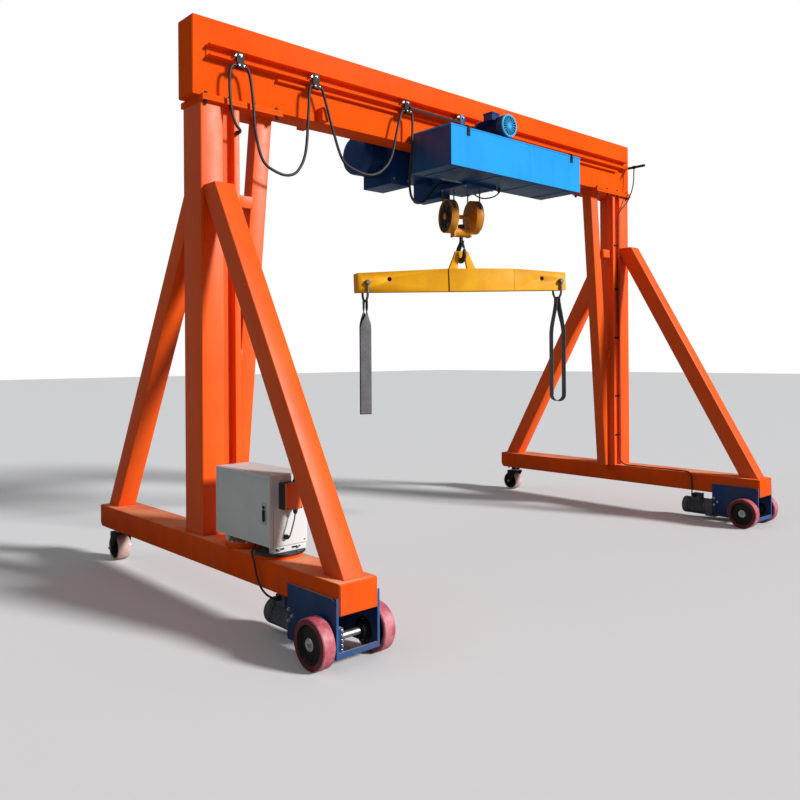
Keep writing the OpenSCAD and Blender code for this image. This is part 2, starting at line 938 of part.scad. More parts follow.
module festoon_clamp() {
    festoon_hanger(clamp_x);
}

module festoon_carrier() {
    festoon_hanger(carrier_x);
}

// The clamp that the trolley pulls along, on a flat arm from the trolley's hanger plate
module festoon_tow() {
    festoon_hanger(tow_x);
    color(black)
        block(tow_x + clamp_half, trolley_x - roller_base / 2 - hanger_w / 2, hanger_front,
            hanger_front + hanger_t, clamp_z + clamp_h / 2 + 8, clamp_z + clamp_h / 2 + 28);
}

module festoon_loop_1() {
    color(black)
        cable(smooth([for (p = loop_1_route) [p[0], cable_y, p[1]]], 2), cable_d, [0, 1, 0]);
}

module festoon_loop_2() {
    color(black)
        cable(smooth([for (p = loop_2_route) [p[0], cable_y, p[1]]], 2), cable_d, [0, 1, 0]);
}

module leg_cable() {
    color(black)
        cable(leg_route, cable_d, [0.5, 0.6, 0.6]);
}

module hoist_cable() {
    color(black)
        cable(hoist_route, cable_d, [0.7, -0.7, 0]);
}

module near_motor_cable() {
    color(black)
        cable(near_motor_route, thin_cable_d, [0.6, -0.8, 0]);
}

module far_motor_cable() {
    color(black)
        cable(far_motor_route, thin_cable_d, [1, 0.3, 0.3]);
}

module receiver_lead() {
    color(black)
        cable(receiver_route, lead_d, [1, 0, 0]);
}

module box_cable() {
    color(black)
        cable(box_route, thin_cable_d, [0.7, 0, 0.7]);
}

module trolley_box() {
    color(blue)
        block(box_x0, box_x0 + box_len, box_front, box_rear, box_z, box_top);
}

// The rear body with gearbox and drum, the lower deck that carries the ropes, and the gland on the deck
module hoist_body() {
    tail_front = rear_front + tail_inset;
    color(navy) {
        block(rear_x0, rear_x0 + gearbox_len, rear_front, rear_rear, rear_z, rear_top);
        block(rear_x0 + gearbox_len, rear_x0 + rear_len, rear_front, rear_rear, drum_z, rear_top);
        block(tail_x0, tail_x1, tail_front, rear_rear, tail_z, drum_z);
        block(deck_x0, deck_x1, box_rear - deck_d, tail_front, deck_z, box_z);
        block(deck_x0, deck_x1, box_rear, tail_front, deck_z, deck_top);
        bar_x(deck_x0 - gland_len, deck_x0, hoist_gland_y, hoist_gland_z, gland_d);
    }
}

module hoist_motor() {
    color(navy)
        bar_x(rear_x0 - hoist_motor_len, rear_x0, hoist_motor_y, hoist_motor_z, hoist_motor_d);
}

module trolley_frame() {
    color(navy) {
        for (x = [trolley_x - roller_base / 2, trolley_x + roller_base / 2]) {
            block(x - hanger_w / 2, x + hanger_w / 2, hanger_front, hanger_front + hanger_t,
                box_top, rail_floor + roller_d);
            block(x - hanger_w / 2, x + hanger_w / 2,
                2 * column_y - hanger_front - hanger_t, 2 * column_y - hanger_front,
                rear_top, rail_floor + roller_d);
            block(x - beam_half, x + beam_half, box_rear, rear_front, cross_z, cross_z + cross_h);
        }
    }
}

module trolley_wheels() {
    z = rail_floor + roller_d / 2 + seat_gap;
    color(steel)
        for (x = [trolley_x - roller_base / 2, trolley_x + roller_base / 2])
            both_sides() {
                bar_y(girder_front - rail_d + 8, girder_front - rail_t - 6, x, z, roller_d);
                bar_y(hanger_front + hanger_t, girder_front - rail_d + 8, x, z, hanger_pin_d);
            }
}

module trolley_motor() {
    z = box_top + motor_foot + tmotor_d / 2;
    color(navy) {
        bar_y(box_front + motor_edge, box_front + motor_edge + tmotor_len, motor_x, z, tmotor_d);
        block(motor_x - tmotor_d / 2 + foot_side, motor_x + tmotor_d / 2 - foot_side,
            box_front + motor_edge + foot_front, box_front + motor_edge + tmotor_len - foot_rear, box_top, z);
        block(motor_x - tmotor_d / 2 - motor_box_side, motor_x - motor_box_side,
            box_front + motor_edge + motor_box_front, box_front + motor_edge + motor_box_front + motor_box_w,
            z, z + tmotor_d / 2 + motor_box_rise);
    }
}

// Pieces of the hook block are drawn along their own X and turned about the hook's vertical line
module at_hook() {
    translate([hook_x, column_y, 0])
        rotate([0, 0, hook_turn])
            children();
}

module wire_ropes() {
    color(steel)
        at_hook()
            for (u = [-sheave_pitch / 2, sheave_pitch / 2], v = [-rope_r, rope_r])
                translate([u, v, sheave_z])
                    cylinder(d = rope_d, h = deck_z - sheave_z);
}

module sheave_cover(u, s) {
    width = sheave_w + 8;
    difference() {
        bar_x(u - width / 2, u + width / 2, 0, sheave_z, 2 * cover_r);
        bar_x(u - width / 2 - 1, u + width / 2 + 1, 0, sheave_z, 2 * (cover_r - cover_t));
        for (v = [-rope_r, rope_r])
            block(u - rope_d, u + rope_d, v - slot_half, v + slot_half, sheave_z, sheave_z + cover_r + 1);
    }
    inner = u - s * width / 2;
    bar_x(min(inner, inner - s * cover_t), max(inner, inner - s * cover_t), 0, sheave_z, 2 * cover_r);
}

// Two covers with a cheek plate each, the sheave axle, and the round crosshead that holds the hook
module hook_block() {
    half = sheave_pitch / 2 - sheave_w / 2 - 4 - cover_t;
    color(amber)
        at_hook() {
            sheave_cover(-sheave_pitch / 2, -1);
            sheave_cover(sheave_pitch / 2, 1);
            for (u = [-half, half - cheek_t])
                block(u, u + cheek_t, -cheek_half, cheek_half, head_z - head_d / 2, sheave_z + cheek_up);
            difference() {
                bar_x(-half, half, 0, head_z, head_d);
                translate([0, 0, head_z - head_d])
                    cylinder(d = shank_d + run_gap, h = 2 * head_d);
            }
            bar_x(-sheave_pitch / 2 - sheave_w / 2 - 8, sheave_pitch / 2 + sheave_w / 2 + 8, 0, sheave_z,
                sheave_pin_d);
        }
}

module sheaves() {
    r = sheave_d / 2;
    color(black)
        at_hook()
            for (u = [-sheave_pitch / 2, sheave_pitch / 2])
                translate([u, 0, sheave_z])
                    rotate([0, 90, 0])
                        rotate_extrude()
                            polygon([
                                [sheave_pin_d / 2 + run_gap / 2, -sheave_w / 2],
                                [r, -sheave_w / 2],
                                [r, -groove_half],
                                [r - groove_deep, -groove_half],
                                [r - groove_deep, groove_half],
                                [r, groove_half],
                                [r, sheave_w / 2],
                                [sheave_pin_d / 2 + run_gap / 2, sheave_w / 2]
                            ]);
}

// A hook with its bowl in the plane across the spreader and its tip at the front, with a nut on the shank
module hook() {
    mid = bowl_r + hook_t / 2;
    nut_z = head_z + head_d / 2 + seat_gap;
    tip = hook_sweep - 270;
    color(black)
        at_hook() {
            translate([0, 0, hook_z + mid])
                cylinder(d = shank_d, h = nut_z + head_nut_h - hook_z - mid);
            translate([0, 0, nut_z])
                cylinder(d = head_nut_d, h = head_nut_h);
            translate([0, 0, hook_z])
                rotate([90, 0, 90])
                    rotate([0, 0, 90 - hook_sweep])
                        rotate_extrude(angle = hook_sweep)
                            translate([mid, 0])
                                circle(d = hook_t);
            translate([0, -mid * cos(tip), hook_z + mid * sin(tip)])
                sphere(d = hook_t);
            translate([0, 0, hook_z + mid])
                sphere(d = hook_t);
        }
}

// The spreader leans a little about the hook's bowl
module at_bowl() {
    at_hook()
        translate([0, 0, hook_z])
            rotate([0, -beam_tilt, 0])
                translate([0, 0, -hook_z])
                    children();
}

module spreader_beam() {
    color(yellow)
        at_bowl()
            difference() {
                union() {
                    along_y(-beam_w / 2, beam_w / 2)
                        polygon([
                            [-arm_short, beam_z],
                            [arm_long, beam_z],
                            [arm_long, beam_z + beam_end_h],
                            [sleeve_right, beam_z + beam_h],
                            [sleeve_left, beam_z + beam_h],
                            [-arm_short, beam_z + beam_end_h]
                        ]);
                    block(sleeve_left, sleeve_right, -beam_w / 2 - sleeve_t, beam_w / 2 + sleeve_t,
                        beam_z, beam_z + beam_h);
                }
                for (u = spare_holes)
                    bar_y(-beam_w, beam_w, u, beam_z + spare_up, sling_hole_d);
                for (u = shackle_places)
                    bar_y(-beam_w, beam_w, u, beam_z + pin_up, shackle_pin_d + run_gap);
            }
}

// A bridge-shaped plate on the beam: its top bar lies in the hook's bowl
module lifting_lug() {
    foot_z = beam_z + beam_h;
    color(yellow)
        at_bowl()
            along_y(-lug_t / 2, lug_t / 2)
                polygon([
                    [-lug_half, foot_z],
                    [-lug_top_half, lug_top],
                    [lug_top_half, lug_top],
                    [lug_half, foot_z],
                    [lug_foot_half, foot_z],
                    [lug_hole_half, lug_hole_top],
                    [-lug_hole_half, lug_hole_top],
                    [-lug_foot_half, foot_z]
                ]);
}

// Where a point of the leaning beam lies: along the beam and up
function leaned(u, z) = [
    u * cos(beam_tilt) - (z - hook_z) * sin(beam_tilt),
    hook_z + (z - hook_z) * cos(beam_tilt) + u * sin(beam_tilt)
];

// Bow shackles round the beam's ends, hanging upright
module shackles() {
    color(slate)
        at_hook()
            for (u = shackle_places) {
                p = leaned(u, beam_z + pin_up);
                translate([p[0], 0, p[1]]) {
                    bar_y(-shackle_r - shackle_d, shackle_r + shackle_d, 0, 0, shackle_pin_d);
                    for (v = [-shackle_r, shackle_r])
                        translate([0, v, -shackle_leg])
                            cylinder(d = shackle_d, h = shackle_leg);
                    translate([0, 0, -shackle_leg])
                        rotate([0, 90, 0])
                            rotate([0, 0, -90])
                                rotate_extrude(angle = 180)
                                    translate([shackle_r, 0])
                                        circle(d = shackle_d);
                }
            }
}

// Flat web slings, gathered at the shackle
module slings() {
    color(slate)
        at_hook()
            for (u = shackle_places) {
                p = leaned(u, beam_z + pin_up);
                top = p[1] - shackle_leg - shackle_r - shackle_d / 2 - seat_gap;
                along_y(-2 * sling_t, 2 * sling_t)
                    polygon([
                        [p[0] - sling_w / 5, top],
                        [p[0] + sling_w / 5, top],
                        [p[0] + sling_w / 2, top - sling_w],
                        [p[0] + sling_w / 2, top - sling_len + sling_w / 6],
                        [p[0] + sling_w / 3, top - sling_len],
                        [p[0] - sling_w / 3, top - sling_len],
                        [p[0] - sling_w / 2, top - sling_len + sling_w / 6],
                        [p[0] - sling_w / 2, top - sling_w]
                    ]);
            }
}

girder();
flange_plates();
leg_top_plates();
rail_webs();
rail_flanges();
end_stops();
cable_arm();
base_beams();
columns();
inner_posts();
struts();
rungs();
braces();
cabinet();
cabinet_door();
cabinet_rails();
pedestals();
cabinet_disc();
radio_receiver();
cable_glands();
drive_brackets();
gear_housings();
travel_motors();
near_wheels();
far_wheels();
caster_plates();
near_caster_fork();
far_caster_fork();
near_caster_wheel();
far_caster_wheel();
festoon_clamp();
festoon_carrier();
festoon_tow();
festoon_loop_1();
festoon_loop_2();
leg_cable();
hoist_cable();
near_motor_cable();
far_motor_cable();
receiver_lead();
box_cable();
trolley_box();
hoist_body();
hoist_motor();
trolley_frame();
trolley_wheels();
trolley_motor();
wire_ropes();
hook_block();
sheaves();
hook();
spreader_beam();
lifting_lug();
shackles();
slings();
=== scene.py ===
# The looks of a gantry crane with two A-shaped legs and a low-headroom trolley hoist.
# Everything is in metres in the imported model's own frame: X along the girder, Y from the drives to
# the casters, Z up from the floor.
import json
import math

import bmesh
import bpy
import numpy as np
from mathutils import Matrix, Vector


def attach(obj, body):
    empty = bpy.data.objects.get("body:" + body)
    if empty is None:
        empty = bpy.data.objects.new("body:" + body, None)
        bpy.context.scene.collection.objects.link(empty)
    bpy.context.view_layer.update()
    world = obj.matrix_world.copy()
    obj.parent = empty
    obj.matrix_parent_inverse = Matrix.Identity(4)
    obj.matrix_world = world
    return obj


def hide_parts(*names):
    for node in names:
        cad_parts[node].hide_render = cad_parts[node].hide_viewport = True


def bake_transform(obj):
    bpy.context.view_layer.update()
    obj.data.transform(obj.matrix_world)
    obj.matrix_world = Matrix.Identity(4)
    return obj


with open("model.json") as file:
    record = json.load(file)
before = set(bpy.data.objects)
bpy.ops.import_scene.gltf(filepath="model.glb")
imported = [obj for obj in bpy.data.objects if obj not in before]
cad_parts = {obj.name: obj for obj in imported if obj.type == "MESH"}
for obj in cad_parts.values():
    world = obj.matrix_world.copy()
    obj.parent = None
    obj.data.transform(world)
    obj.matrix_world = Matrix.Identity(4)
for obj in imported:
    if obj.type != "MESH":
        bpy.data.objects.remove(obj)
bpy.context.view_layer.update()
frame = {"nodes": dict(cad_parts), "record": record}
record = frame["record"]
node_slot = {part["node"]: part["material_slot"] for part in record["subparts"]}
node_body = {node: body for body, nodes in record["behaviour"]["bodies"].items() for node in nodes}

# Places that the solids share with their dressed pieces
LEG_X = 2.382
SIDES = (("near", -LEG_X), ("far", LEG_X))
MIDDLE_Y = 0.046
BASE_TOP = 0.437
LEG_HEAD = 3.215
GIRDER_FOOT = 3.255
COLUMN_XS, COLUMN_YS = (2.3095, 2.4745), (-0.0725, 0.1645)
STRUT_XS, STRUT_YS = (1.8945, 2.0165), (-0.0065, 0.0985)
BRACE_XS, BRACE_FEET = (2.312, 2.452), ((-1.489, 1), (1.473, -1))
RUNG_ZS, RUNG_HALF = (1.582, 2.612), 0.041
POST_EDGE = 2.1915
RAIL_YS, RAIL_HALF = (-0.052, 0.144), 2.424
AXLE_Y = -1.409
WHEEL_R = 0.132
MOTOR_Z = 0.110
SWIVEL_Y = 1.396
CASTER_Y = 1.441
CASTER_Z = 0.100
CABLE_Y = -0.137
CABLE_Z = 3.470
FESTOON_ROLLER_Z = 3.5383
HANGER_Y, HANGER_BACK = -0.142, -0.134
CLAMP_XS = {"festoon_clamp": -2.220, "festoon_carrier": -1.612, "festoon_tow": -0.740}
HANGER_XS = (-0.120, 0.480)
TROLLEY_ROLLER_Z = 3.5433
DECK_FOOT = 2.985
HOOK_X = 0.050
HOOK_TURN = math.radians(-21)
HOOK_Z = 2.453
SHEAVE_Z = 2.766
SHEAVE_U = 0.120
ROPE_V = 0.1133
HEAD_Z = 2.632
TILT = math.radians(1.9)
PIN_Z = 2.206
PIN_US = (-0.883, 0.945)

DOWN = (0, 0, -1)
FORWARD = (0, -1, 0)
AXES = {"x": (1.0, 0.0, 0.0), "y": (0.0, 1.0, 0.0), "z": (0.0, 0.0, 1.0)}


# Shapes: each one is a pair, its points as an array and its faces as lists of point numbers

def join(*shapes):
    """One shape from several: the faces of each are numbered on from the points before it."""
    counts = np.cumsum([0] + [len(points) for points, faces in shapes])
    points = np.vstack([points for points, faces in shapes])
    faces = [[i + int(start) for i in face] for start, shape in zip(counts, shapes) for face in shape[1]]
    return points, faces


def grid(points, wrap_u=False, wrap_v=False):
    """Quads between neighbours of an m by n array of points. A wrapped way's last line meets its first."""
    m, n = points.shape[:2]
    i = np.arange(m if wrap_u else m - 1)[:, None]
    j = np.arange(n if wrap_v else n - 1)[None, :]
    i2, j2 = (i + 1) % m, (j + 1) % n
    quads = np.stack([i * n + j, i * n + j2, i2 * n + j2, i2 * n + j], -1)
    return points.reshape(-1, 3), quads.reshape(-1, 4).tolist()


def blocks(*corners):
    """A box for each (x0, y0, z0, x1, y1, z1): every corner takes the low or the high end of each axis."""
    ends = np.asarray(corners, float).reshape(-1, 2, 3)
    level = [[0, 0], [1, 0], [1, 1], [0, 1]]
    pick = np.array([corner + [top] for top in (0, 1) for corner in level])
    points = np.stack([ends[:, pick[:, k], k] for k in range(3)], -1)
    sides = np.array([[0, 3, 2, 1], [4, 5, 6, 7], [0, 1, 5, 4], [1, 2, 6, 5], [2, 3, 7, 6], [3, 0, 4, 7]])
    faces = sides[None] + 8 * np.arange(len(ends))[:, None, None]
    return points.reshape(-1, 3), faces.reshape(-1, 4).tolist()


def slab(outline, axis, low, high):
    """A flat outline carried along an axis: two end faces, and a quad for each side of the outline."""
    outline = np.asarray(outline, float)
    n = len(outline)
    points = np.zeros((2, n, 3))
    keep = [k for k in range(3) if k != "xyz".index(axis)]
    points[:, :, keep] = outline
    points[0, :, "xyz".index(axis)] = low
    points[1, :, "xyz".index(axis)] = high
    i = np.arange(n)
    sides = np.stack([i, (i + 1) % n, n + (i + 1) % n, n + i], -1).tolist()
    return points.reshape(-1, 3), sides + [i[::-1].tolist(), (n + i).tolist()]


def across_axis(axis):
    """Three unit vectors: the axis, and two at right angles to it and to each other."""
    along = np.array(AXES[axis] if isinstance(axis, str) else axis, float)
    along /= np.linalg.norm(along)
    first = np.cross(along, AXES["z"] if abs(along[2]) < 0.9 else AXES["x"])
    first /= np.linalg.norm(first)
    return along, first, np.cross(along, first)


def lathe(profile, centre, axis, turns=48, ring=False):
    """A profile of (distance along the axis, radius) turned about the axis through the centre.
    A ring's profile closes on itself; any other ends at the axis at both ends."""
    rows = np.asarray(profile, float)
    if not ring:
        rows = np.vstack([[rows[0, 0], 0.0], rows, [rows[-1, 0], 0.0]])
    along, first, second = across_axis(axis)
    t = np.linspace(0.0, 2 * math.pi, turns, endpoint=False)[None, :, None]
    spread = np.cos(t) * first + np.sin(t) * second
    points = np.asarray(centre, float) + rows[:, :1, None] * along + rows[:, 1:, None] * spread
    return grid(points, wrap_u=ring, wrap_v=True)


def around(shape, centre, axis, count, start=0.0):
    """A shape repeated about an axis in equal steps: p cos t + (a x p) sin t + a (a . p)(1 - cos t)."""
    points, faces = shape
    along = across_axis(axis)[0]
    p = points - np.asarray(centre, float)
    t = (start + 2 * math.pi * np.arange(count) / count)[:, None, None]
    turned = p * np.cos(t) + np.cross(along, p) * np.sin(t)
    turned = turned + along * (p @ along)[None, :, None] * (1 - np.cos(t))
    out = [[i + k * len(points) for i in face] for k in range(count) for face in faces]
    return (turned + np.asarray(centre, float)).reshape(-1, 3), out


def copies(shape, places):
    """A shape repeated at each place: its points plus the place."""
    points, faces = shape
    places = np.asarray(places, float).reshape(-1, 3)
    out = [[i + k * len(points) for i in face] for k in range(len(places)) for face in faces]
    return (points[None] + places[:, None]).reshape(-1, 3), out


def bolts(places, axis, size):
    """Hexagon heads on washers: two small turned profiles, repeated at each place on a face."""
    head = lathe([(0.14 * size, 0.5 * size), (0.70 * size, 0.5 * size), (0.78 * size, 0.42 * size)],
                 (0, 0, 0), axis, turns=6)
    washer = lathe([(0, 0.68 * size), (0.14 * size, 0.68 * size)], (0, 0, 0), axis, turns=12)
    return copies(join(head, washer), places)


def unit(vectors):
    """Each vector divided by its own length."""
    return vectors / np.linalg.norm(vectors, axis=-1, keepdims=True)


def headings(path):
    """The direction of a path at each point: the next point minus the last one."""
    ahead = np.vstack([path[1:], path[-1:]])
    behind = np.vstack([path[:1], path[:-1]])
    return unit(ahead - behind)


def tube(path, radius, side, turns=10):
    """A round tube: at each point of the path a ring of the radius, square to the path's direction.
    The radius may be one number or one for each point of the path."""
    path = np.asarray(path, float)
    along = headings(path)
    first = unit(np.cross(along, np.asarray(side, float)))
    second = np.cross(first, along)
    r = np.broadcast_to(np.asarray(radius, float).reshape(-1, 1, 1), (len(path), 1, 1))
    t = np.linspace(0.0, 2 * math.pi, turns, endpoint=False)[None, :, None]
    ring = path[:, None] + r * (np.cos(t) * first[:, None] + np.sin(t) * second[:, None])
    ends = np.repeat(path[[0, -1], None], turns, 1)
    return grid(np.concatenate([ends[:1], ring, ends[1:]]), wrap_v=True)


def twisted(low, high, radius, strands, lay, turns=36):
    """A laid rope from low to high, whose radius swells at each strand. Strands turn once in a lay."""
    low, high = np.asarray(low, float), np.asarray(high, float)
    length = float(np.linalg.norm(high - low))
    along, first, second = across_axis((high - low) / length)
    s = np.linspace(0.0, length, int(length / lay * 14) + 2)[:, None]
    t = np.linspace(0.0, 2 * math.pi, turns, endpoint=False)[None, :]
    r = radius * (0.90 + 0.10 * np.abs(np.cos(0.5 * strands * (t - 2 * math.pi * s / lay))))
    spread = np.cos(t)[..., None] * first + np.sin(t)[..., None] * second
    ring = low + s[..., None] * along + r[..., None] * spread
    ends = np.repeat(np.stack([low, high])[:, None], turns, 1)
    return grid(np.concatenate([ends[:1], ring, ends[1:]]), wrap_v=True)


def bead(a, b, radius=0.004, pitch=0.011):
    """A weld bead from a to b: a six-sided tube whose radius rises and falls along it."""
    a, b = np.asarray(a, float), np.asarray(b, float)
    length = float(np.linalg.norm(b - a))
    count = max(4, int(length / pitch))
    t = np.linspace(0.0, 1.0, count)
    ripple = radius * (1.0 + 0.12 * np.cos(2.4 * np.arange(count)) + 0.06 * np.sin(0.31 * np.arange(count)))
    side = AXES["z"] if abs(b[2] - a[2]) < 0.5 * length else AXES["x"]
    return tube(a + t[:, None] * (b - a), ripple, side, turns=6)


def weld_round(corners):
    """Beads along each side of a closed line of corners."""
    return join(*[bead(a, b) for a, b in zip(corners, corners[1:] + corners[:1])])


def smooth_route(route, steps=8):
    """Catmull-Rom points between those of a route, whose first and last stretch stay straight."""
    p = np.asarray(route, float)
    a, b, c, d = (q[:, None] for q in (p[:-3], p[1:-2], p[2:-1], p[3:]))
    t = (np.arange(steps) / steps)[None, :, None]
    square, cube = 2 * a - 5 * b + 4 * c - d, 3 * b - 3 * c + d - a
    inner = 0.5 * (2 * b + (c - a) * t + square * t ** 2 + cube * t ** 3)
    return np.vstack([p[:1], inner.reshape(-1, 3), p[-2:]])


def smoothstep(value, low, high):
    """0 below low, 1 above high, and 3t^2 - 2t^3 between them."""
    t = np.clip((np.asarray(value, float) - low) / (high - low), 0.0, 1.0)
    return t * t * (3 - 2 * t)


def at_hook(shape):
    """Local (u, v, z) turned about the vertical through the hook, and set down at its place."""
    points, faces = shape
    u, v, z = points.T
    x = HOOK_X + u * math.cos(HOOK_TURN) - v * math.sin(HOOK_TURN)
    y = MIDDLE_Y + u * math.sin(HOOK_TURN) + v * math.cos(HOOK_TURN)
    return np.stack([x, y, z], -1), faces


def leaned(shape):
    """Points of the level spreader leant about the hook's bowl, in the plane of the beam."""
    points, faces = shape
    u, v, z = points.T
    return np.stack([u * math.cos(TILT) - (z - HOOK_Z) * math.sin(TILT), v,
                     HOOK_Z + (z - HOOK_Z) * math.cos(TILT) + u * math.sin(TILT)], -1), faces


# Finishes

class Socket:
    """A node's output in a finish, with the arithmetic that its Math nodes do."""

    def __init__(self, finish, link):
        self.finish = finish
        self.link = link

    def math(self, operation, first, second):
        return self.finish.add("ShaderNodeMath", {0: first, 1: second}, operation=operation)

    def __add__(self, other):
        return self.math("ADD", self, other)

    def __sub__(self, other):
        return self.math("SUBTRACT", self, other)

    def __mul__(self, other):
        return self.math("MULTIPLY", self, other)


def socket_name(word):
    """The shader socket that a keyword stands for: base_color is Base Color."""
    return word.replace("_", " ").title().replace("Ior", "IOR")


class Finish:
    """A material: its shader's own sockets, and one method that adds any other node."""

    def __init__(self, name, **own):
        self.material = bpy.data.materials.new(name)
        self.material.use_nodes = True
        self.tree = self.material.node_tree
        self.shader = self.tree.nodes["Principled BSDF"]
        for socket, value in own.items():
            self.shader.inputs[socket_name(socket)].default_value = value
        self.place = self.add("ShaderNodeTexCoord", output="Object")

    def add(self, kind, inputs=None, output=0, stops=None, **settings):
        node = self.tree.nodes.new(kind)
        for key, value in settings.items():
            setattr(node, key, value)
        if stops:
            ramp = node.color_ramp
            while len(ramp.elements) < len(stops):
                ramp.elements.new(0.5)
            for element, (position, colour) in zip(ramp.elements, stops):
                element.position = position
                element.color = (*colour, 1.0)
        for key, value in (inputs or {}).items():
            self.set(node.inputs[key], value)
        return Socket(self, node.outputs[output])

    def set(self, socket, value):
        if isinstance(value, Socket):
            self.tree.links.new(value.link, socket)
        elif isinstance(value, tuple) and socket.type == "RGBA":
            socket.default_value = (*value, 1.0)
        else:
            socket.default_value = value

    def noise(self, scale, detail=4.0, stretch=None, roughness=0.55):
        """A cloud from 0 to 1; stretch scales the place along each axis first."""
        place = self.place
        if stretch:
            place = self.add("ShaderNodeVectorMath", {0: place, 1: stretch}, operation="MULTIPLY")
        return self.add("ShaderNodeTexNoise",
                        {"Vector": place, "Scale": scale, "Detail": detail, "Roughness": roughness})

    def between(self, value, low, high):
        """0 at low and 1 at high, smooth between them."""
        return self.add("ShaderNodeMapRange", {"Value": value, "From Min": low, "From Max": high},
                        interpolation_type="SMOOTHSTEP")

    def facing_up(self):
        """1 where the surface faces up, 0 where it doesn't."""
        normal = self.add("ShaderNodeNewGeometry", output="True Normal")
        return self.between(self.add("ShaderNodeSeparateXYZ", {"Vector": normal}, output="Z"), 0.80, 0.98)

    def height(self):
        """The height above the floor."""
        return self.add("ShaderNodeSeparateXYZ", {"Vector": self.place}, output="Z")

    def mix(self, amount, low, high):
        """One colour to another by an amount from 0 to 1."""
        return self.add("ShaderNodeMix", {0: amount, 6: low, 7: high}, output=2, data_type="RGBA")

    def bump(self, height, distance, strength=1.0, under=None):
        inputs = {"Height": height, "Distance": distance, "Strength": strength}
        if under:
            inputs["Normal"] = under
        return self.add("ShaderNodeBump", inputs, output="Normal")

    def use(self, **values):
        for socket, value in values.items():
            self.set(self.shader.inputs[socket_name(socket)], value)
        return self.material


LOW_DUST = (0.14, 0.10, 0.07)
# Pale tint for up-facing faces: a painted highlight, partly real settled dust.
TOP_HIGHLIGHT_AND_DUST = (0.56, 0.46, 0.28)


def enamel(name, colour, shade, roughness, dust=0.35, scuff=0.5, shine=0.06, top_highlight=0.6):
    """Brushed enamel: clouded colour, faint runs, orange peel, scuffs, dust low down, and on tops a painted
    highlight mixed with dust.
    """
    f = Finish(name, specular_ior_level=shine)
    clouds = f.between(f.noise(1.7, 5.0), 0.32, 0.72)
    runs = f.between(f.noise(3.0, 3.0, stretch=(5.0, 5.0, 0.55)), 0.48, 0.80)
    body = f.mix(clouds * 0.55 + runs * 0.35, colour, shade)
    speck = f.between(f.noise(95.0, 3.0), 0.66, 0.74) * f.between(f.noise(2.3, 2.0), 0.50, 0.68)
    body = f.mix(speck * scuff, body, tuple(0.45 * c + 0.03 for c in shade))
    low = f.between(f.height(), 0.75, 0.02) * f.between(f.noise(7.0, 6.0), 0.30, 0.70)
    body = f.mix(low * dust, body, LOW_DUST)
    # Up-facing faces are paled towards that tint: a painted highlight, partly dust.
    top_highlight_and_dust = f.facing_up() * f.between(f.noise(4.0, 6.0), 0.20, 0.62) * top_highlight
    body = f.mix(top_highlight_and_dust, body, tuple(0.42 * c + pale for c, pale in zip(colour, TOP_HIGHLIGHT_AND_DUST)))
    rough = f.noise(11.0, 4.0) * 0.16 + (roughness - 0.08) + low * 0.25 + speck * 0.2
    waves = f.bump(f.noise(5.0, 2.0), 0.003, 0.25)
    peel = f.bump(f.noise(260.0, 2.0), 0.0004, 0.35, under=waves)
    return f.use(base_color=body, roughness=rough, normal=peel)


def cast_metal(name, colour, shade, roughness, metallic, grain=140.0, wear=0.4, worn=(0.45, 0.44, 0.42),
               shine=0.5):
    """Cast or forged metal: a sandy skin, clouded tone, and rubbed places that shine."""
    f = Finish(name, metallic=metallic, specular_ior_level=shine)
    clouds = f.between(f.noise(6.0, 6.0), 0.30, 0.70)
    skin = f.noise(grain, 5.0, roughness=0.7)
    rubbed = f.between(f.noise(17.0, 7.0, roughness=0.7), 0.56, 0.70)
    body = f.mix(rubbed * wear, f.mix(clouds, colour, shade), worn)
    rough = skin * 0.2 + (roughness - 0.06) - rubbed * 0.15
    return f.use(base_color=body, roughness=rough, normal=f.bump(skin, 0.0012, 0.5))


def turned_metal(name, colour, roughness, scale=180.0):
    """Machined steel: fine scratches across the surface and a thin film of oil."""
    f = Finish(name, metallic=1.0)
    lines = f.noise(scale, 3.0, stretch=(1.0, 0.12, 1.0))
    oil = f.between(f.noise(9.0, 4.0), 0.42, 0.66)
    body = f.mix(oil * 0.5, colour, tuple(0.55 * c for c in colour))
    return f.use(base_color=body, roughness=lines * 0.18 + (roughness - 0.06) + oil * 0.1,
                 normal=f.bump(lines, 0.0004, 0.4))


def rubber(name, colour, roughness, grain=300.0, dust=0.3):
    """Rubber or a cable's sheath: matt, with a fine grain and a pale bloom of dust."""
    f = Finish(name)
    grains = f.noise(grain, 3.0)
    bloom = f.between(f.noise(14.0, 6.0), 0.45, 0.75)
    body = f.mix(bloom * dust, colour, tuple(min(1.0, 0.6 * c + 0.09) for c in colour))
    return f.use(base_color=body, roughness=grains * 0.14 + (roughness - 0.05),
                 normal=f.bump(grains, 0.0005, 0.35))


TREAD_DUST = (0.40, 0.30, 0.27)


def polyurethane(name, colour, pale, dust=0.35):
    """A cast tread: clouded red, rolled paler and dusty where it meets the floor, with fine cross marks."""
    f = Finish(name, coat_weight=0.12, coat_roughness=0.3)
    clouds = f.between(f.noise(16.0, 6.0), 0.38, 0.66)
    marks = f.between(f.noise(60.0, 4.0, stretch=(0.25, 1.6, 1.6)), 0.45, 0.68)
    body = f.mix(clouds * 0.75 + marks * 0.2, colour, pale)
    body = f.mix(f.between(f.noise(34.0, 5.0), 0.55, 0.72) * dust, body, TREAD_DUST)
    grain = f.noise(120.0, 4.0)
    return f.use(base_color=body, roughness=grain * 0.2 + 0.42,
                 normal=f.bump(grain + marks * 0.6, 0.0008, 0.4))


def powder(name, colour, shade, roughness=0.5, dust=0.25, shine=0.35):
    """Powder coat: an even, finely pebbled skin with a little dust and faint stains."""
    f = Finish(name, specular_ior_level=shine)
    stain = f.between(f.noise(4.0, 6.0, stretch=(1.0, 1.0, 0.4)), 0.48, 0.75)
    pebbles = f.noise(420.0, 2.0)
    body = f.mix(stain * dust, colour, shade)
    return f.use(base_color=body, roughness=pebbles * 0.14 + (roughness - 0.06),
                 normal=f.bump(pebbles, 0.0004, 0.35))


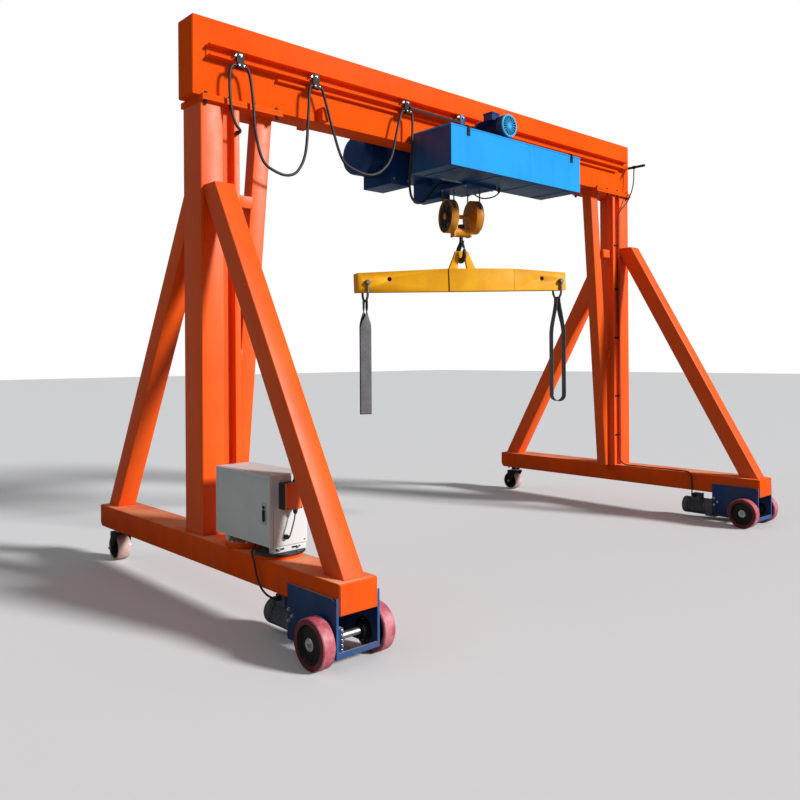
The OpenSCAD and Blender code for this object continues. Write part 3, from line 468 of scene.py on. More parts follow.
def webbing(name, colour, dark, map_name):
    """Woven polyester: rows of warp and weft from two waves on the strap's own map, with soiled patches."""
    f = Finish(name)
    on_strap = f.add("ShaderNodeUVMap", uv_map=map_name)
    warp = f.add("ShaderNodeTexWave", {"Vector": on_strap, "Scale": 60.0, "Distortion": 0.6, "Detail": 2.0},
                 output=1, wave_type="BANDS", bands_direction="X")
    weft = f.add("ShaderNodeTexWave", {"Vector": on_strap, "Scale": 95.0, "Distortion": 0.4, "Detail": 2.0},
                 output=1, wave_type="BANDS", bands_direction="Y")
    weave = warp * weft
    soil = f.between(f.noise(12.0, 7.0, roughness=0.7), 0.40, 0.68)
    body = f.mix(soil * 0.65, f.mix(weave, dark, colour), dark)
    return f.use(base_color=body, roughness=weave * 0.1 + 0.78, normal=f.bump(weave, 0.0012, 0.7))


ORANGE = (0.90, 0.098, 0.004)
finishes = {
    "orange_paint": enamel("orange_enamel", ORANGE, (0.74, 0.066, 0.002), 0.46, shine=0.02),
    "navy_paint": enamel("navy_enamel", (0.003, 0.050, 0.190), (0.002, 0.026, 0.115), 0.36, shine=0.25),
    "blue_paint": enamel("blue_enamel", (0.026, 0.370, 0.860), (0.016, 0.270, 0.700), 0.34, dust=0.1),
    "motor_paint": enamel("motor_enamel", (0.150, 0.200, 0.255), (0.085, 0.120, 0.165), 0.42, dust=0.45),
    "cabinet_paint": powder("cabinet_coat", (0.66, 0.68, 0.67), (0.44, 0.44, 0.42)),
    "black_metal": powder("black_steel", (0.009, 0.009, 0.010), (0.028, 0.025, 0.023), 0.55, dust=0.5,
                          shine=0.2),
    "tread": polyurethane("rolled_tread", (0.46, 0.070, 0.100), (0.62, 0.220, 0.260)),
    "black_rubber": rubber("cable_rubber", (0.016, 0.016, 0.017), 0.55),
    "gland_plastic": rubber("gland_nylon", (0.020, 0.020, 0.021), 0.42, grain=500.0, dust=0.15),
    "receiver_plastic": rubber("receiver_case", (0.80, 0.130, 0.020), 0.40, grain=600.0, dust=0.1),
    "bright_steel": turned_metal("bright_steel", (0.62, 0.62, 0.63), 0.32),
    "rope_steel": turned_metal("greased_rope", (0.20, 0.19, 0.18), 0.45, scale=400.0),
    "block_paint": cast_metal("worn_amber", (0.78, 0.330, 0.020), (0.60, 0.210, 0.014), 0.45, 0.0,
                              wear=0.55, worn=(0.16, 0.070, 0.030), shine=0.25),
    "dark_iron": cast_metal("dark_iron", (0.026, 0.025, 0.026), (0.050, 0.047, 0.044), 0.50, 0.35,
                            wear=0.35),
    "beam_paint": cast_metal("spreader_yellow", (0.90, 0.430, 0.004), (0.80, 0.340, 0.004), 0.48, 0.0,
                             grain=220.0, wear=0.15, worn=(0.42, 0.18, 0.02), shine=0.2),
    "shackle_steel": cast_metal("forged_grey", (0.22, 0.22, 0.23), (0.12, 0.12, 0.125), 0.42, 0.8),
    "sling_web": webbing("grey_webbing", (0.30, 0.30, 0.31), (0.10, 0.10, 0.105), "strap"),
}
pale_tread = polyurethane("pale_tread", (0.60, 0.36, 0.32), (0.74, 0.56, 0.50))
red_band = polyurethane("red_band", (0.130, 0.006, 0.010), (0.200, 0.014, 0.018), dust=0.05)
cyan_cowl = enamel("cyan_cowl", (0.060, 0.420, 0.780), (0.040, 0.320, 0.680), 0.30, dust=0.0)
# A shinier copy of the orange for the legs' members; its lighter colour is a painted sheen.
sheen_leg_orange = enamel("leg_enamel_sheen", (0.92, 0.115, 0.008), (0.80, 0.080, 0.004), 0.42, shine=0.26)
# A darker copy of the box's blue for its sides and underside: painted shade.
shaded_blue = enamel("shaded_blue", (0.006, 0.085, 0.230), (0.004, 0.050, 0.150), 0.36, dust=0.1, shine=0.3)
pale_edge_blue = enamel("pale_edge_blue", (0.020, 0.110, 0.320), (0.010, 0.060, 0.200), 0.40)
black_disc = powder("black_disc", (0.007, 0.006, 0.006), (0.022, 0.017, 0.015), 0.5, dust=0.4)
# Dark rust on the bare rims of the holes; the same dark colour on the beads at the sleeve plates' edges is
# a painted shadow of the sleeve's step.
rust_and_painted_shadow = cast_metal("bare_hole_and_shadow", (0.10, 0.040, 0.018), (0.045, 0.022, 0.014), 0.7, 0.2, wear=0.3,
                       worn=(0.22, 0.10, 0.05))


# Pieces

def mended(mesh):
    """Merges doubled points, which closes poles and seams, and turns the faces outwards."""
    work = bmesh.new()
    work.from_mesh(mesh)
    bmesh.ops.remove_doubles(work, verts=work.verts, dist=1e-6)
    bmesh.ops.recalc_face_normals(work, faces=work.faces)
    work.to_mesh(mesh)
    work.free()


def linked(name, data):
    """An object made from its data and linked to the scene."""
    obj = bpy.data.objects.new(name, data)
    bpy.context.scene.collection.objects.link(obj)
    return obj


def shaded(obj, bevel, angle=32.0):
    """Smooth shading with its sharp edges kept, and a small rounding on those edges."""
    mesh = obj.data
    mesh.polygons.foreach_set("use_smooth", np.ones(len(mesh.polygons), bool))
    if bevel:
        rounding = obj.modifiers.new("rounding", "BEVEL")
        rounding.width = bevel
        rounding.segments = 2
        rounding.limit_method = "ANGLE"
        rounding.angle_limit = math.radians(angle)
        rounding.harden_normals = True
    else:
        mesh.set_sharp_from_angle(angle=math.radians(angle))


def piece(name, body, slot, made, bevel=0.0, replaces=(), material=None, angle=32.0):
    """A shape as an object with its finish, on a body, or for a pair of bodies left in place with its
    transform baked.
    """
    mesh = bpy.data.meshes.new(name)
    points, faces = made
    mesh.from_pydata(points.tolist(), [], faces)
    mended(mesh)
    obj = linked(name, mesh)
    obj.data.materials.append(material or finishes[slot])
    shaded(obj, bevel, angle)
    if isinstance(body, str):
        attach(obj, body)
    else:
        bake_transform(obj)
    if replaces:
        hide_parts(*replaces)
    return obj


def dressed(node, bevel, material=None):
    """A merged copy of a solid, its flat faces whole and its edges rounded, which stands for that solid."""
    name = node + "_dressed"
    mesh = frame["nodes"][node].data.copy()
    mesh.name = name
    mesh.materials.clear()
    work = bmesh.new()
    work.from_mesh(mesh)
    bmesh.ops.remove_doubles(work, verts=work.verts, dist=1e-5)
    bmesh.ops.dissolve_limit(work, angle_limit=math.radians(0.5), verts=work.verts, edges=work.edges)
    bmesh.ops.recalc_face_normals(work, faces=work.faces)
    work.to_mesh(mesh)
    work.free()
    obj = linked(name, mesh)
    obj.data.materials.append(material or finishes[node_slot[node]])
    shaded(obj, bevel)
    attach(obj, node_body[node])
    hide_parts(node)


def cord(name, node, body, route, diameter, side):
    """A limp round cable along its route."""
    path = smooth_route(route)
    obj = piece(name, body, node_slot[node], tube(path, diameter / 2, side), replaces=(node,), angle=60.0)


# Camera, at the photograph's place and angle

CAMERA_AT = Vector((-4.947, -4.679, 1.572))
CAMERA_YAW, CAMERA_PITCH, CAMERA_ROLL = 0.835, 0.002, -0.007
FOCAL_PX, FRAME_PX, PRINCIPAL_V = 798.0, 800.0, 354.84

forward = Vector((math.cos(CAMERA_YAW) * math.cos(CAMERA_PITCH),
                  math.sin(CAMERA_YAW) * math.cos(CAMERA_PITCH), math.sin(CAMERA_PITCH)))
level = Vector((math.sin(CAMERA_YAW), -math.cos(CAMERA_YAW), 0.0))
upright = level.cross(forward)
right = math.cos(CAMERA_ROLL) * level + math.sin(CAMERA_ROLL) * upright
up = math.cos(CAMERA_ROLL) * upright - math.sin(CAMERA_ROLL) * level
lens = bpy.data.cameras.new("camera")
lens.sensor_width = 36.0
lens.lens = lens.sensor_width * FOCAL_PX / FRAME_PX
lens.shift_y = (PRINCIPAL_V - FRAME_PX / 2) / FRAME_PX
lens.clip_end = 200.0
camera = linked("camera", lens)
camera.matrix_world = Matrix.Translation(CAMERA_AT) @ Matrix((right, up, -forward)).transposed().to_4x4()
bpy.context.scene.camera = camera


# Cables: their routes are the solids' own

FESTOON_D, THIN_D, LEAD_D = 0.020, 0.012, 0.008


def in_clamp_plane(route):
    """Points (x, z) of a festoon loop, set in the plane of its clamps."""
    return [(x, CABLE_Y, z) for x, z in route]


LOOP_1 = in_clamp_plane([
    (-2.1917, 3.470), (-2.181, 3.470), (-2.162, 3.458), (-2.142, 3.390), (-2.124, 3.250),
    (-2.106, 3.050), (-2.050, 2.880), (-1.945, 2.822), (-1.845, 2.815), (-1.765, 2.865), (-1.705, 3.000),
    (-1.680, 3.260), (-1.672, 3.400), (-1.664, 3.456), (-1.651, 3.470), (-1.6403, 3.470)])
LOOP_2 = in_clamp_plane([
    (-1.5837, 3.470), (-1.573, 3.470), (-1.554, 3.450), (-1.512, 3.330), (-1.458, 3.170),
    (-1.375, 2.990), (-1.250, 2.935), (-1.110, 2.925), (-0.990, 2.985), (-0.905, 3.100), (-0.850, 3.300),
    (-0.806, 3.440), (-0.779, 3.470), (-0.7683, 3.470)])
# The carrier goes half as far as the trolley, so this point mirrors the loop's end about the carrier's
# clamp
LOOP_2_START = tuple(2 * a - b for a, b in zip(LOOP_2[0], LOOP_2[-1]))
LEG = [
    (-2.2483, -0.137, 3.470), (-2.260, -0.137, 3.470), (-2.282, -0.137, 3.456), (-2.297, -0.137, 3.410),
    (-2.299, -0.137, 3.300), (-2.286, -0.137, 3.170), (-2.258, -0.137, 3.090), (-2.226, -0.133, 3.058),
    (-2.2115, -0.112, 3.050), (-2.2115, -0.0928, 3.050)]
HOIST = [
    (-0.7117, -0.137, 3.470), (-0.702, -0.137, 3.470), (-0.690, -0.137, 3.452), (-0.686, -0.137, 3.380),
    (-0.694, -0.137, 3.200), (-0.718, -0.136, 3.000), (-0.712, -0.130, 2.880), (-0.672, -0.112, 2.812),
    (-0.590, -0.080, 2.790), (-0.480, -0.040, 2.822), (-0.370, 0.000, 2.890), (-0.270, 0.034, 2.972),
    (-0.205, 0.043, 3.012), (-0.165, 0.045, 3.020), (-0.1503, 0.045, 3.020)]
NEAR_MOTOR = [
    (-2.440, -0.640, 0.4907), (-2.440, -0.640, 0.480), (-2.462, -0.662, 0.464),
    (-2.512, -0.712, 0.452), (-2.534, -0.775, 0.410), (-2.534, -0.800, 0.340), (-2.526, -0.832, 0.280),
    (-2.500, -0.856, 0.238), (-2.462, -0.868, 0.213), (-2.443, -0.870, 0.210), (-2.4273, -0.870, 0.210)]
FAR_MOTOR = [
    (2.4695, -0.150, 3.5167), (2.4695, -0.150, 3.500), (2.462, -0.148, 3.380), (2.436, -0.142, 3.280),
    (2.380, -0.122, 3.160), (2.300, -0.094, 3.070), (2.262, -0.083, 2.980), (2.258, -0.082, 2.860),
    (2.258, -0.082, 2.600), (2.258, -0.082, 1.800), (2.258, -0.082, 1.000), (2.258, -0.082, 0.700),
    (2.258, -0.084, 0.560), (2.258, -0.100, 0.484), (2.260, -0.150, 0.449), (2.262, -0.230, 0.446),
    (2.262, -0.400, 0.446), (2.262, -0.560, 0.446), (2.262, -0.720, 0.446), (2.258, -0.800, 0.447),
    (2.250, -0.850, 0.440), (2.243, -0.880, 0.400), (2.243, -0.885, 0.300), (2.256, -0.880, 0.244),
    (2.290, -0.872, 0.215), (2.320, -0.870, 0.210), (2.3367, -0.870, 0.210)]
RECEIVER = [
    (-2.370, -0.945, 0.7207), (-2.370, -0.945, 0.706), (-2.377, -0.947, 0.665),
    (-2.396, -0.949, 0.610), (-2.407, -0.944, 0.572), (-2.408, -0.934, 0.560), (-2.408, -0.9223, 0.560)]
BOX = [
    (0.325, -0.145, 3.0117), (0.325, -0.145, 3.000), (0.321, -0.138, 2.974), (0.306, -0.105, 2.952),
    (0.288, -0.050, 2.944), (0.270, 0.005, 2.950), (0.256, 0.052, 2.974), (0.250, 0.072, 2.994),
    (0.247, 0.075, 3.000), (0.2403, 0.075, 3.000)]

cord("leg_cord", "leg_cable", "frame", LEG, FESTOON_D, (0.5, 0.6, 0.6))
cord("near_motor_cord", "near_motor_cable", "frame", NEAR_MOTOR, THIN_D, (0.6, -0.8, 0.0))
cord("far_motor_cord", "far_motor_cable", "frame", FAR_MOTOR, THIN_D, (1.0, 0.3, 0.3))
cord("receiver_cord", "receiver_lead", "frame", RECEIVER, LEAD_D, (1.0, 0.0, 0.0))
cord("hoist_cord", "hoist_cable", "trolley", HOIST, FESTOON_D, (0.7, -0.7, 0.0))
cord("box_cord", "box_cable", "trolley", BOX, THIN_D, (0.7, 0.0, 0.7))
cord("loop_1_cord", "festoon_loop_1", ("frame", "carrier", LOOP_1[0], LOOP_1[-1]), LOOP_1, FESTOON_D,
     (0.0, 1.0, 0.0))
cord("loop_2_cord", "festoon_loop_2", ("frame", "trolley", LOOP_2_START, LOOP_2[-1]), LOOP_2, FESTOON_D,
     (0.0, 1.0, 0.0))


# Steelwork of the portal

portal = {
    "girder": 0.003, "flange_plates": 0.002, "leg_top_plates": 0.002, "rail_webs": 0.0015,
    "rail_flanges": 0.0015, "end_stops": 0.003, "cable_arm": 0.002, "base_beams": 0.009, "columns": 0.009,
    "inner_posts": 0.003, "struts": 0.007, "rungs": 0.005, "braces": 0.006, "pedestals": 0.003,
    "drive_brackets": 0.002, "gear_housings": 0.008, "cabinet": 0.0015, "cabinet_rails": 0.003,
}
for node, rounding in portal.items():
    # The legs' members take the lighter copy of the orange, a painted sheen.
    on_leg = node in ("columns", "inner_posts", "struts", "rungs", "braces")
    dressed(node, rounding, material=sheen_leg_orange if on_leg else None)


def rectangle(x0, x1, y0, y1, z):
    """The four corners of a level rectangle."""
    return [(x0, y0, z), (x1, y0, z), (x1, y1, z), (x0, y1, z)]


def at_both_legs(make):
    """A shape made for the far leg and for the near one, from the sign of X."""
    return join(make(1), make(-1))


def leg_welds(s):
    """Beads round the feet and heads of a leg's members, and round its rungs' ends."""
    x0, x1 = BRACE_XS
    feet = [weld_round(rectangle(*(s * x for x in COLUMN_XS), *COLUMN_YS, z)) for z in (BASE_TOP, LEG_HEAD)]
    strut = weld_round(rectangle(*(s * x for x in STRUT_XS), *STRUT_YS, LEG_HEAD))
    braces = [bead((s * x, y, BASE_TOP), (s * x, y + 0.170 * way, BASE_TOP))
              for x in BRACE_XS for y, way in BRACE_FEET]
    ends = [bead((s * x0, y, BASE_TOP), (s * x1, y, BASE_TOP)) for y, way in BRACE_FEET]
    tops = [bead((s * x, y, 2.32), (s * x, y, 2.68)) for x in BRACE_XS for y in COLUMN_YS]
    rungs = [bead((s * (POST_EDGE - 0.001), -0.040, z + rise), (s * (POST_EDGE - 0.001), 0.046, z + rise))
             for z in RUNG_ZS for rise in (-RUNG_HALF, RUNG_HALF)]
    seam = bead((s * POST_EDGE, STRUT_YS[0], 0.45), (s * POST_EDGE, STRUT_YS[0], 1.1))
    return join(*feet, strut, *braces, *ends, *tops, *rungs, seam)


def girder_welds():
    """Beads along both rails and their lower bars, and round the end stops."""
    lines = []
    runs = ((-RAIL_HALF, RAIL_HALF, 3.585), (-RAIL_HALF, RAIL_HALF, 3.505), (-1.894, 2.274, 3.477))
    stop_in, stop_out, stop_top = 1.482, 1.542, 3.350
    for y in RAIL_YS:
        for x0, x1, z in runs:
            lines.append(bead((x0, y, z), (x1, y, z), 0.003, 0.022))
        for s in (-1, 1):
            lines.append(bead((s * stop_in, y, GIRDER_FOOT), (s * stop_in, y, stop_top)))
            lines.append(bead((s * stop_out, y, GIRDER_FOOT), (s * stop_out, y, stop_top)))
            lines.append(bead((s * stop_in, y, stop_top), (s * stop_out, y, stop_top)))
    return join(*lines)


piece("leg_welds", "frame", "orange_paint", at_both_legs(leg_welds))
piece("girder_welds", "frame", "orange_paint", girder_welds())


def end_caps(s):
    """Slightly proud plates that close the girder's and the base beams' open ends."""
    x0, x1 = s * 2.2615, s * 2.5025
    return blocks((s * 2.5145, -0.048, 3.259, s * 2.5175, 0.140, 3.761),
                  (x0, 1.506, 0.302, x1, 1.509, 0.431),
                  (x0, -1.525, 0.278, x1, -1.522, 0.431))


piece("end_caps", "frame", "orange_paint", at_both_legs(end_caps), bevel=0.001)

FLANGE_XS = (1.905, 2.085, 2.265, 2.440)
flange_bolts = [(s * x, y, GIRDER_FOOT) for s in (-1, 1) for x in FLANGE_XS for y in (-0.078, 0.170)]
flange_nuts = [(s * x, y, LEG_HEAD) for s in (-1, 1) for x in FLANGE_XS for y in (-0.088, 0.180)]
piece("flange_bolts", "frame", "bright_steel",
      join(bolts(flange_bolts, "z", 0.026), bolts(flange_nuts, DOWN, 0.026)), bevel=0.0008,
      material=finishes["dark_iron"])

# Saddles that hold the far motor's cable on the inner post, and the clip under the arm
saddles = []
for z in (0.75, 1.15, 1.75, 2.25, 2.70):
    saddles.append(blocks((2.205, -0.0765, z - 0.009, 2.272, -0.0725, z + 0.009),
                          (2.2465, -0.0900, z - 0.008, 2.2695, -0.0765, z + 0.008)))
ARM_X, ARM_Z = 2.4695, 3.530
arm_clip = lathe([(-0.010, 0.0132), (-0.010, 0.0175), (0.010, 0.0175), (0.010, 0.0132)],
                 (ARM_X, -0.150, ARM_Z), "y", ring=True, turns=32)
arm_cap = lathe([(-0.004, 0.0135), (0.010, 0.0145), (0.010, 0.0132)], (ARM_X, -0.270, ARM_Z), "y", turns=24)
piece("cable_saddles", "frame", "black_metal", join(*saddles, arm_clip, arm_cap), bevel=0.0012)


# Glands: a hexagon and a tapered sleeve that the cable runs through

def gland(at, axis, cable_r):
    """A hexagon on the wall, then a dome that narrows onto the cable along its axis."""
    base = lathe([(0.0, 0.0155), (0.010, 0.0155)], at, axis, turns=6)
    dome = lathe([(0.010, 0.0130), (0.014, 0.0140), (0.022, 0.0125), (0.034, cable_r + 0.0012),
                  (0.034, cable_r)], at, axis, turns=24)
    return join(base, dome)


piece("glands_dressed", "frame", "gland_plastic", join(
    gland((-2.2115, -0.0725, 3.050), FORWARD, FESTOON_D / 2),
    gland((-2.440, -0.640, 0.511), DOWN, THIN_D / 2),
    gland((-2.408, -0.902, 0.560), FORWARD, LEAD_D / 2),
    gland((-2.427, -0.870, 0.210), (-1, 0, 0), THIN_D / 2),
    gland((2.337, -0.870, 0.210), (-1, 0, 0), THIN_D / 2),
    gland((-2.370, -0.945, 0.721), DOWN, LEAD_D / 2)), bevel=0.0008, replaces=("cable_glands",))
piece("trolley_glands", "trolley", "gland_plastic", join(
    gland((-0.130, 0.045, 3.020), (-1, 0, 0), FESTOON_D / 2),
    gland((0.325, -0.145, 3.012), DOWN, THIN_D / 2),
    gland((0.240, 0.075, 3.000), (1, 0, 0), THIN_D / 2)), bevel=0.0008)


# Driven wheels

TREAD = [(0.003, 0.110), (0.000, 0.113), (0.000, 0.126), (0.006, WHEEL_R), (0.070, WHEEL_R), (0.076, 0.126),
         (0.076, 0.113), (0.073, 0.110)]
BAND = [(0.0735, 0.1005), (0.0735, 0.1240), (0.0764, 0.1262), (0.0770, 0.1240), (0.0770, 0.1000)]
DISC = [(0.001, 0.034), (0.016, 0.058), (0.016, 0.094), (0.003, 0.100), (0.003, 0.1105), (0.073, 0.1105),
        (0.073, 0.100), (0.060, 0.092), (0.060, 0.060), (0.066, 0.040)]
WHEEL_IN = 0.1595


def wheel_parts(x):
    """Treads, bands, discs and hubs for the two wheels on one axle, drawn outwards from the beam."""
    treads, bands, discs, hubs = [], [], [], []
    for s in (-1, 1):
        at = (x + s * WHEEL_IN, AXLE_Y, WHEEL_R)
        out = (s, 0, 0)
        treads.append(lathe(TREAD, at, out, turns=96, ring=True))
        bands.append(lathe(BAND, at, out, turns=72, ring=True))
        discs.append(lathe(DISC, at, out, turns=72))
        hubs.append(lathe([(0.060, 0.034), (0.071, 0.034), (0.074, 0.030), (0.074, 0.020)], at, out))
        hub_bolt = bolts([(x + s * (WHEEL_IN + 0.073), AXLE_Y, WHEEL_R + 0.024)], out, 0.007)
        hubs.append(around(hub_bolt, at, "x", 4))
        hubs.append(bolts([(x + s * (WHEEL_IN + 0.074), AXLE_Y, WHEEL_R)], out, 0.019))
        hubs.append(lathe([(-0.0155, 0.032), (-0.002, 0.032), (0.0, 0.028)], at, out))
    hubs.append(lathe([(-WHEEL_IN, 0.020), (WHEEL_IN, 0.020)], (x, AXLE_Y, WHEEL_R), "x"))
    return join(*treads), join(*bands), join(*discs), join(*hubs)


for side, x in SIDES:
    treads, bands, discs, hubs = wheel_parts(x)
    body = side + "_drive"
    piece(side + "_treads", body, "tread", treads, bevel=0.002, replaces=(side + "_wheels",))
    piece(side + "_tread_bands", body, "tread", bands, material=red_band)
    piece(side + "_wheel_discs", body, "black_metal", discs, bevel=0.0015, material=black_disc)
    piece(side + "_wheel_hubs", body, "bright_steel", hubs, bevel=0.001)


# Drive brackets, gear housings and travel motors

HOUSING_FRONT, PLATE_FRONT, PLATE_IN, PLATE_OUT = -1.471, -1.517, 0.1265, 0.1425


def at_both_drives(make):
    """A shape made for the near drive and for the far one, from the X of the middle of its base beam."""
    return join(make(-LEG_X), make(LEG_X))


def bracket_bolts(x):
    """Bolts of the gear housing, inner bearing and plates' rear edges, and a washer on each plate."""
    cover = [(x - 0.072, HOUSING_FRONT, z) for z in (0.082, 0.107, 0.132, 0.157, 0.182)]
    front = bolts(cover, FORWARD, 0.013)
    bearing = bolts([(x + PLATE_IN, AXLE_Y, z) for z in (0.078, 0.186)], (-1, 0, 0), 0.014)
    found = [front, bearing]
    for s in (-1, 1):
        face = x + s * PLATE_OUT
        rear = [(face, y, z) for y, z in ((-1.108, 0.225), (-1.108, 0.165), (-1.140, 0.195))]
        found.append(bolts(rear, (s, 0, 0), 0.016))
        found.append(lathe([(0.0, 0.036), (0.0010, 0.036)], (face, AXLE_Y, WHEEL_R), (s, 0, 0), turns=36))
    return join(*found)


def inner_bearing(x):
    """The bearing that holds the axle on the inside of the plate without gear housing."""
    return lathe([(0.0, 0.062), (0.010, 0.062), (0.012, 0.044), (0.034, 0.042), (0.036, 0.030)],
                 (x + PLATE_IN, AXLE_Y, WHEEL_R), (-1, 0, 0), turns=40)


def plate_edges(x):
    """A lighter blue on the front edges of the side plates and of the strip that ties them."""
    edges = [(x + a, PLATE_FRONT - 0.0006, 0.064, x + b, PLATE_FRONT, 0.366)
             for a, b in ((-PLATE_OUT + 0.001, -PLATE_IN - 0.001), (PLATE_IN + 0.001, PLATE_OUT - 0.001))]
    strip = (x - PLATE_IN, PLATE_FRONT - 0.0006, 0.064, x + PLATE_IN, PLATE_FRONT, 0.090)
    return blocks(*edges, strip)


def bearing_flanges(x):
    """A four-cornered flange round the axle on the outside of each side plate."""
    t = np.linspace(0, 2 * math.pi, 48, endpoint=False)
    r = 0.050 + 0.010 * np.cos(4 * t + math.pi)
    outline = np.stack([AXLE_Y + r * np.cos(t), WHEEL_R + r * np.sin(t)], -1)
    ends = [sorted((x + s * PLATE_OUT, x + s * (PLATE_OUT + 0.010))) for s in (-1, 1)]
    return join(*[slab(outline, "x", low, high) for low, high in ends])


def motor_shapes(x):
    """A gearbox with flange and cover, a finned barrel, a fan cowl, and a terminal box with its lid."""
    plate, barrel, bell, rear = -1.087, -0.975, -0.812, -0.742
    gear_r, box_y, case_r, lid_r = 0.075, -0.870, 0.0435, 0.0450
    gear_cover, gear_y = [(0.0, 0.050), (0.006, 0.050), (0.009, 0.044)], -1.030
    cast = [blocks((x - gear_r, plate + 0.014, MOTOR_Z - gear_r,
                    x + gear_r, barrel - 0.010, MOTOR_Z + gear_r),
                   (x - 0.073, plate, MOTOR_Z - 0.073, x + 0.073, plate + 0.014, MOTOR_Z + 0.073)),
            lathe(gear_cover, (x - gear_r, gear_y, MOTOR_Z), (-1, 0, 0)),
            lathe(gear_cover, (x + gear_r, gear_y, MOTOR_Z), (1, 0, 0)),
            lathe([(0.0, 0.068), (0.012, 0.079), (0.024, 0.079), (0.028, 0.070)],
                  (x, barrel - 0.012, MOTOR_Z), "y"),
            lathe([(0.0, 0.066), (bell - barrel, 0.066)], (x, barrel, MOTOR_Z), "y", turns=64),
            lathe([(0.0, 0.076), (0.010, 0.078), (0.014, 0.070)], (x, bell - 0.006, MOTOR_Z), "y")]
    fin = blocks((x - 0.0013, barrel + 0.018, MOTOR_Z + 0.064, x + 0.0013, bell - 0.008, MOTOR_Z + 0.0775))
    cast.append(around(fin, (x, barrel, MOTOR_Z), "y", 40, start=0.08))
    box = blocks((x - case_r, box_y - case_r, MOTOR_Z + 0.050, x + case_r, box_y + case_r, 0.2130),
                 (x - lid_r, box_y - lid_r, 0.2145, x + lid_r, box_y + lid_r, 0.2270))
    corners = [(x + dx, box_y + dy, 0.2265) for dx in (-0.036, 0.036) for dy in (-0.036, 0.036)]
    screws = bolts(corners, "z", 0.007)
    cowl = lathe([(0.0, 0.0775), (0.044, 0.0790), (0.054, 0.0760), (0.058, 0.066), (0.0575, 0.060),
                  (0.050, 0.058)], (x, rear - 0.058, MOTOR_Z), "y", turns=64)
    rings = [[(0.0, r - 0.002), (0.004, r - 0.002), (0.004, r + 0.002), (0.0, r + 0.002)]
             for r in (0.018, 0.030, 0.042, 0.054)]
    grille = join(*[lathe(ring, (x, rear - 0.0055, MOTOR_Z), "y", turns=40, ring=True) for ring in rings])
    spoke = blocks((x - 0.002, rear - 0.007, MOTOR_Z + 0.008, x + 0.002, rear - 0.003, MOTOR_Z + 0.060))
    spokes = around(spoke, (x, rear, MOTOR_Z), "y", 8)
    boss = lathe([(0.0, 0.014), (0.005, 0.012)], (x, rear - 0.006, MOTOR_Z), "y", turns=24)
    flange_screw = bolts([(x + 0.060, plate + 0.014, MOTOR_Z + 0.060)], "y", 0.012)
    flange_screws = around(flange_screw, (x, plate, MOTOR_Z), "y", 4)
    cover_screws = around(bolts([(x + gear_r + 0.006, gear_y, MOTOR_Z + 0.042)], "x", 0.008),
                          (x, gear_y, MOTOR_Z), "x", 6)
    return join(*cast, box), join(cowl, grille, spokes, boss), join(screws, flange_screws, cover_screws)


near_cast, near_cowl, near_screws = motor_shapes(-LEG_X)
far_cast, far_cowl, far_screws = motor_shapes(LEG_X)
piece("travel_motors_dressed", "frame", "motor_paint", join(near_cast, far_cast), bevel=0.0018,
      replaces=("travel_motors",))
piece("motor_cowls", "frame", "motor_paint", join(near_cowl, far_cowl), bevel=0.0008)
piece("motor_screws", "frame", "bright_steel", join(near_screws, far_screws))
piece("bracket_bolts", "frame", "bright_steel", at_both_drives(bracket_bolts))
piece("inner_bearings", "frame", "black_metal", at_both_drives(inner_bearing), bevel=0.001)
piece("plate_edges", "frame", "navy_paint", at_both_drives(plate_edges), material=pale_edge_blue)
piece("bearing_flanges", "frame", "navy_paint", at_both_drives(bearing_flanges), bevel=0.0015)


# Casters

def caster_wheel(x):
    """A crowned tread and a ribbed core with a bearing hub, both turned about the caster's axle."""
    at = (x - 0.050, CASTER_Y, CASTER_Z)
    tread = lathe([(0.004, 0.084), (0.000, 0.086), (0.001, 0.093), (0.010, 0.0985), (0.050, CASTER_Z),
                   (0.090, 0.0985), (0.099, 0.093), (0.100, 0.086), (0.096, 0.084)],
                  at, "x", turns=80, ring=True)
    core = lathe([(0.004, 0.0105), (0.004, 0.030), (0.018, 0.036), (0.018, 0.070), (0.006, 0.078),
                  (0.006, 0.0845), (0.094, 0.0845), (0.094, 0.078), (0.082, 0.070), (0.082, 0.036),
                  (0.096, 0.030), (0.096, 0.0105)], at, "x", turns=64, ring=True)
    ribs = around(blocks((at[0] + 0.010, CASTER_Y - 0.003, CASTER_Z + 0.032,
                          at[0] + 0.090, CASTER_Y + 0.003, CASTER_Z + 0.074)), at, "x", 8)
    return tread, join(core, ribs)


def caster_fittings(x):
    """Bolt heads on the fork's axle ends, and a ring between fork and plate."""
    ends = [bolts([(x + s * 0.075, CASTER_Y, CASTER_Z)], (s, 0, 0), 0.020) for s in (-1, 1)]
    race = lathe([(0.0, 0.047), (0.004, 0.050), (0.012, 0.050), (0.016, 0.047)], (x, SWIVEL_Y, 0.2235), "z")
    return join(*ends, race)


for side, x in SIDES:
    tread, core = caster_wheel(x)
    piece(side + "_caster_tread", side + "_roller", "tread", tread, bevel=0.0015, material=pale_tread,
          replaces=(side + "_caster_wheel",))
    piece(side + "_caster_core", side + "_roller", "black_metal", core, bevel=0.001)
    dressed(side + "_caster_fork", 0.002)
    piece(side + "_caster_fittings", side + "_swivel", "bright_steel", caster_fittings(x), bevel=0.0006)
dressed("caster_plates", 0.0015)
plate_bolts = [(s * LEG_X + dx, SWIVEL_Y + dy, 0.262) for s in (-1, 1) for dx in (-0.055, 0.055)
               for dy in (-0.055, 0.055)]
piece("caster_plate_bolts", "frame", "bright_steel", bolts(plate_bolts, DOWN, 0.018))


# Control cabinet, its rails and discs, and the radio receiver

CAB_X0, CAB_Y0, CAB_Z0 = -2.5085, -0.902, 0.511
CAB_X1, CAB_Y1, CAB_Z1 = -2.2585, -0.302, 0.911
DOOR_BACK = CAB_X0 + 0.020
dressed("cabinet_door", 0.004)


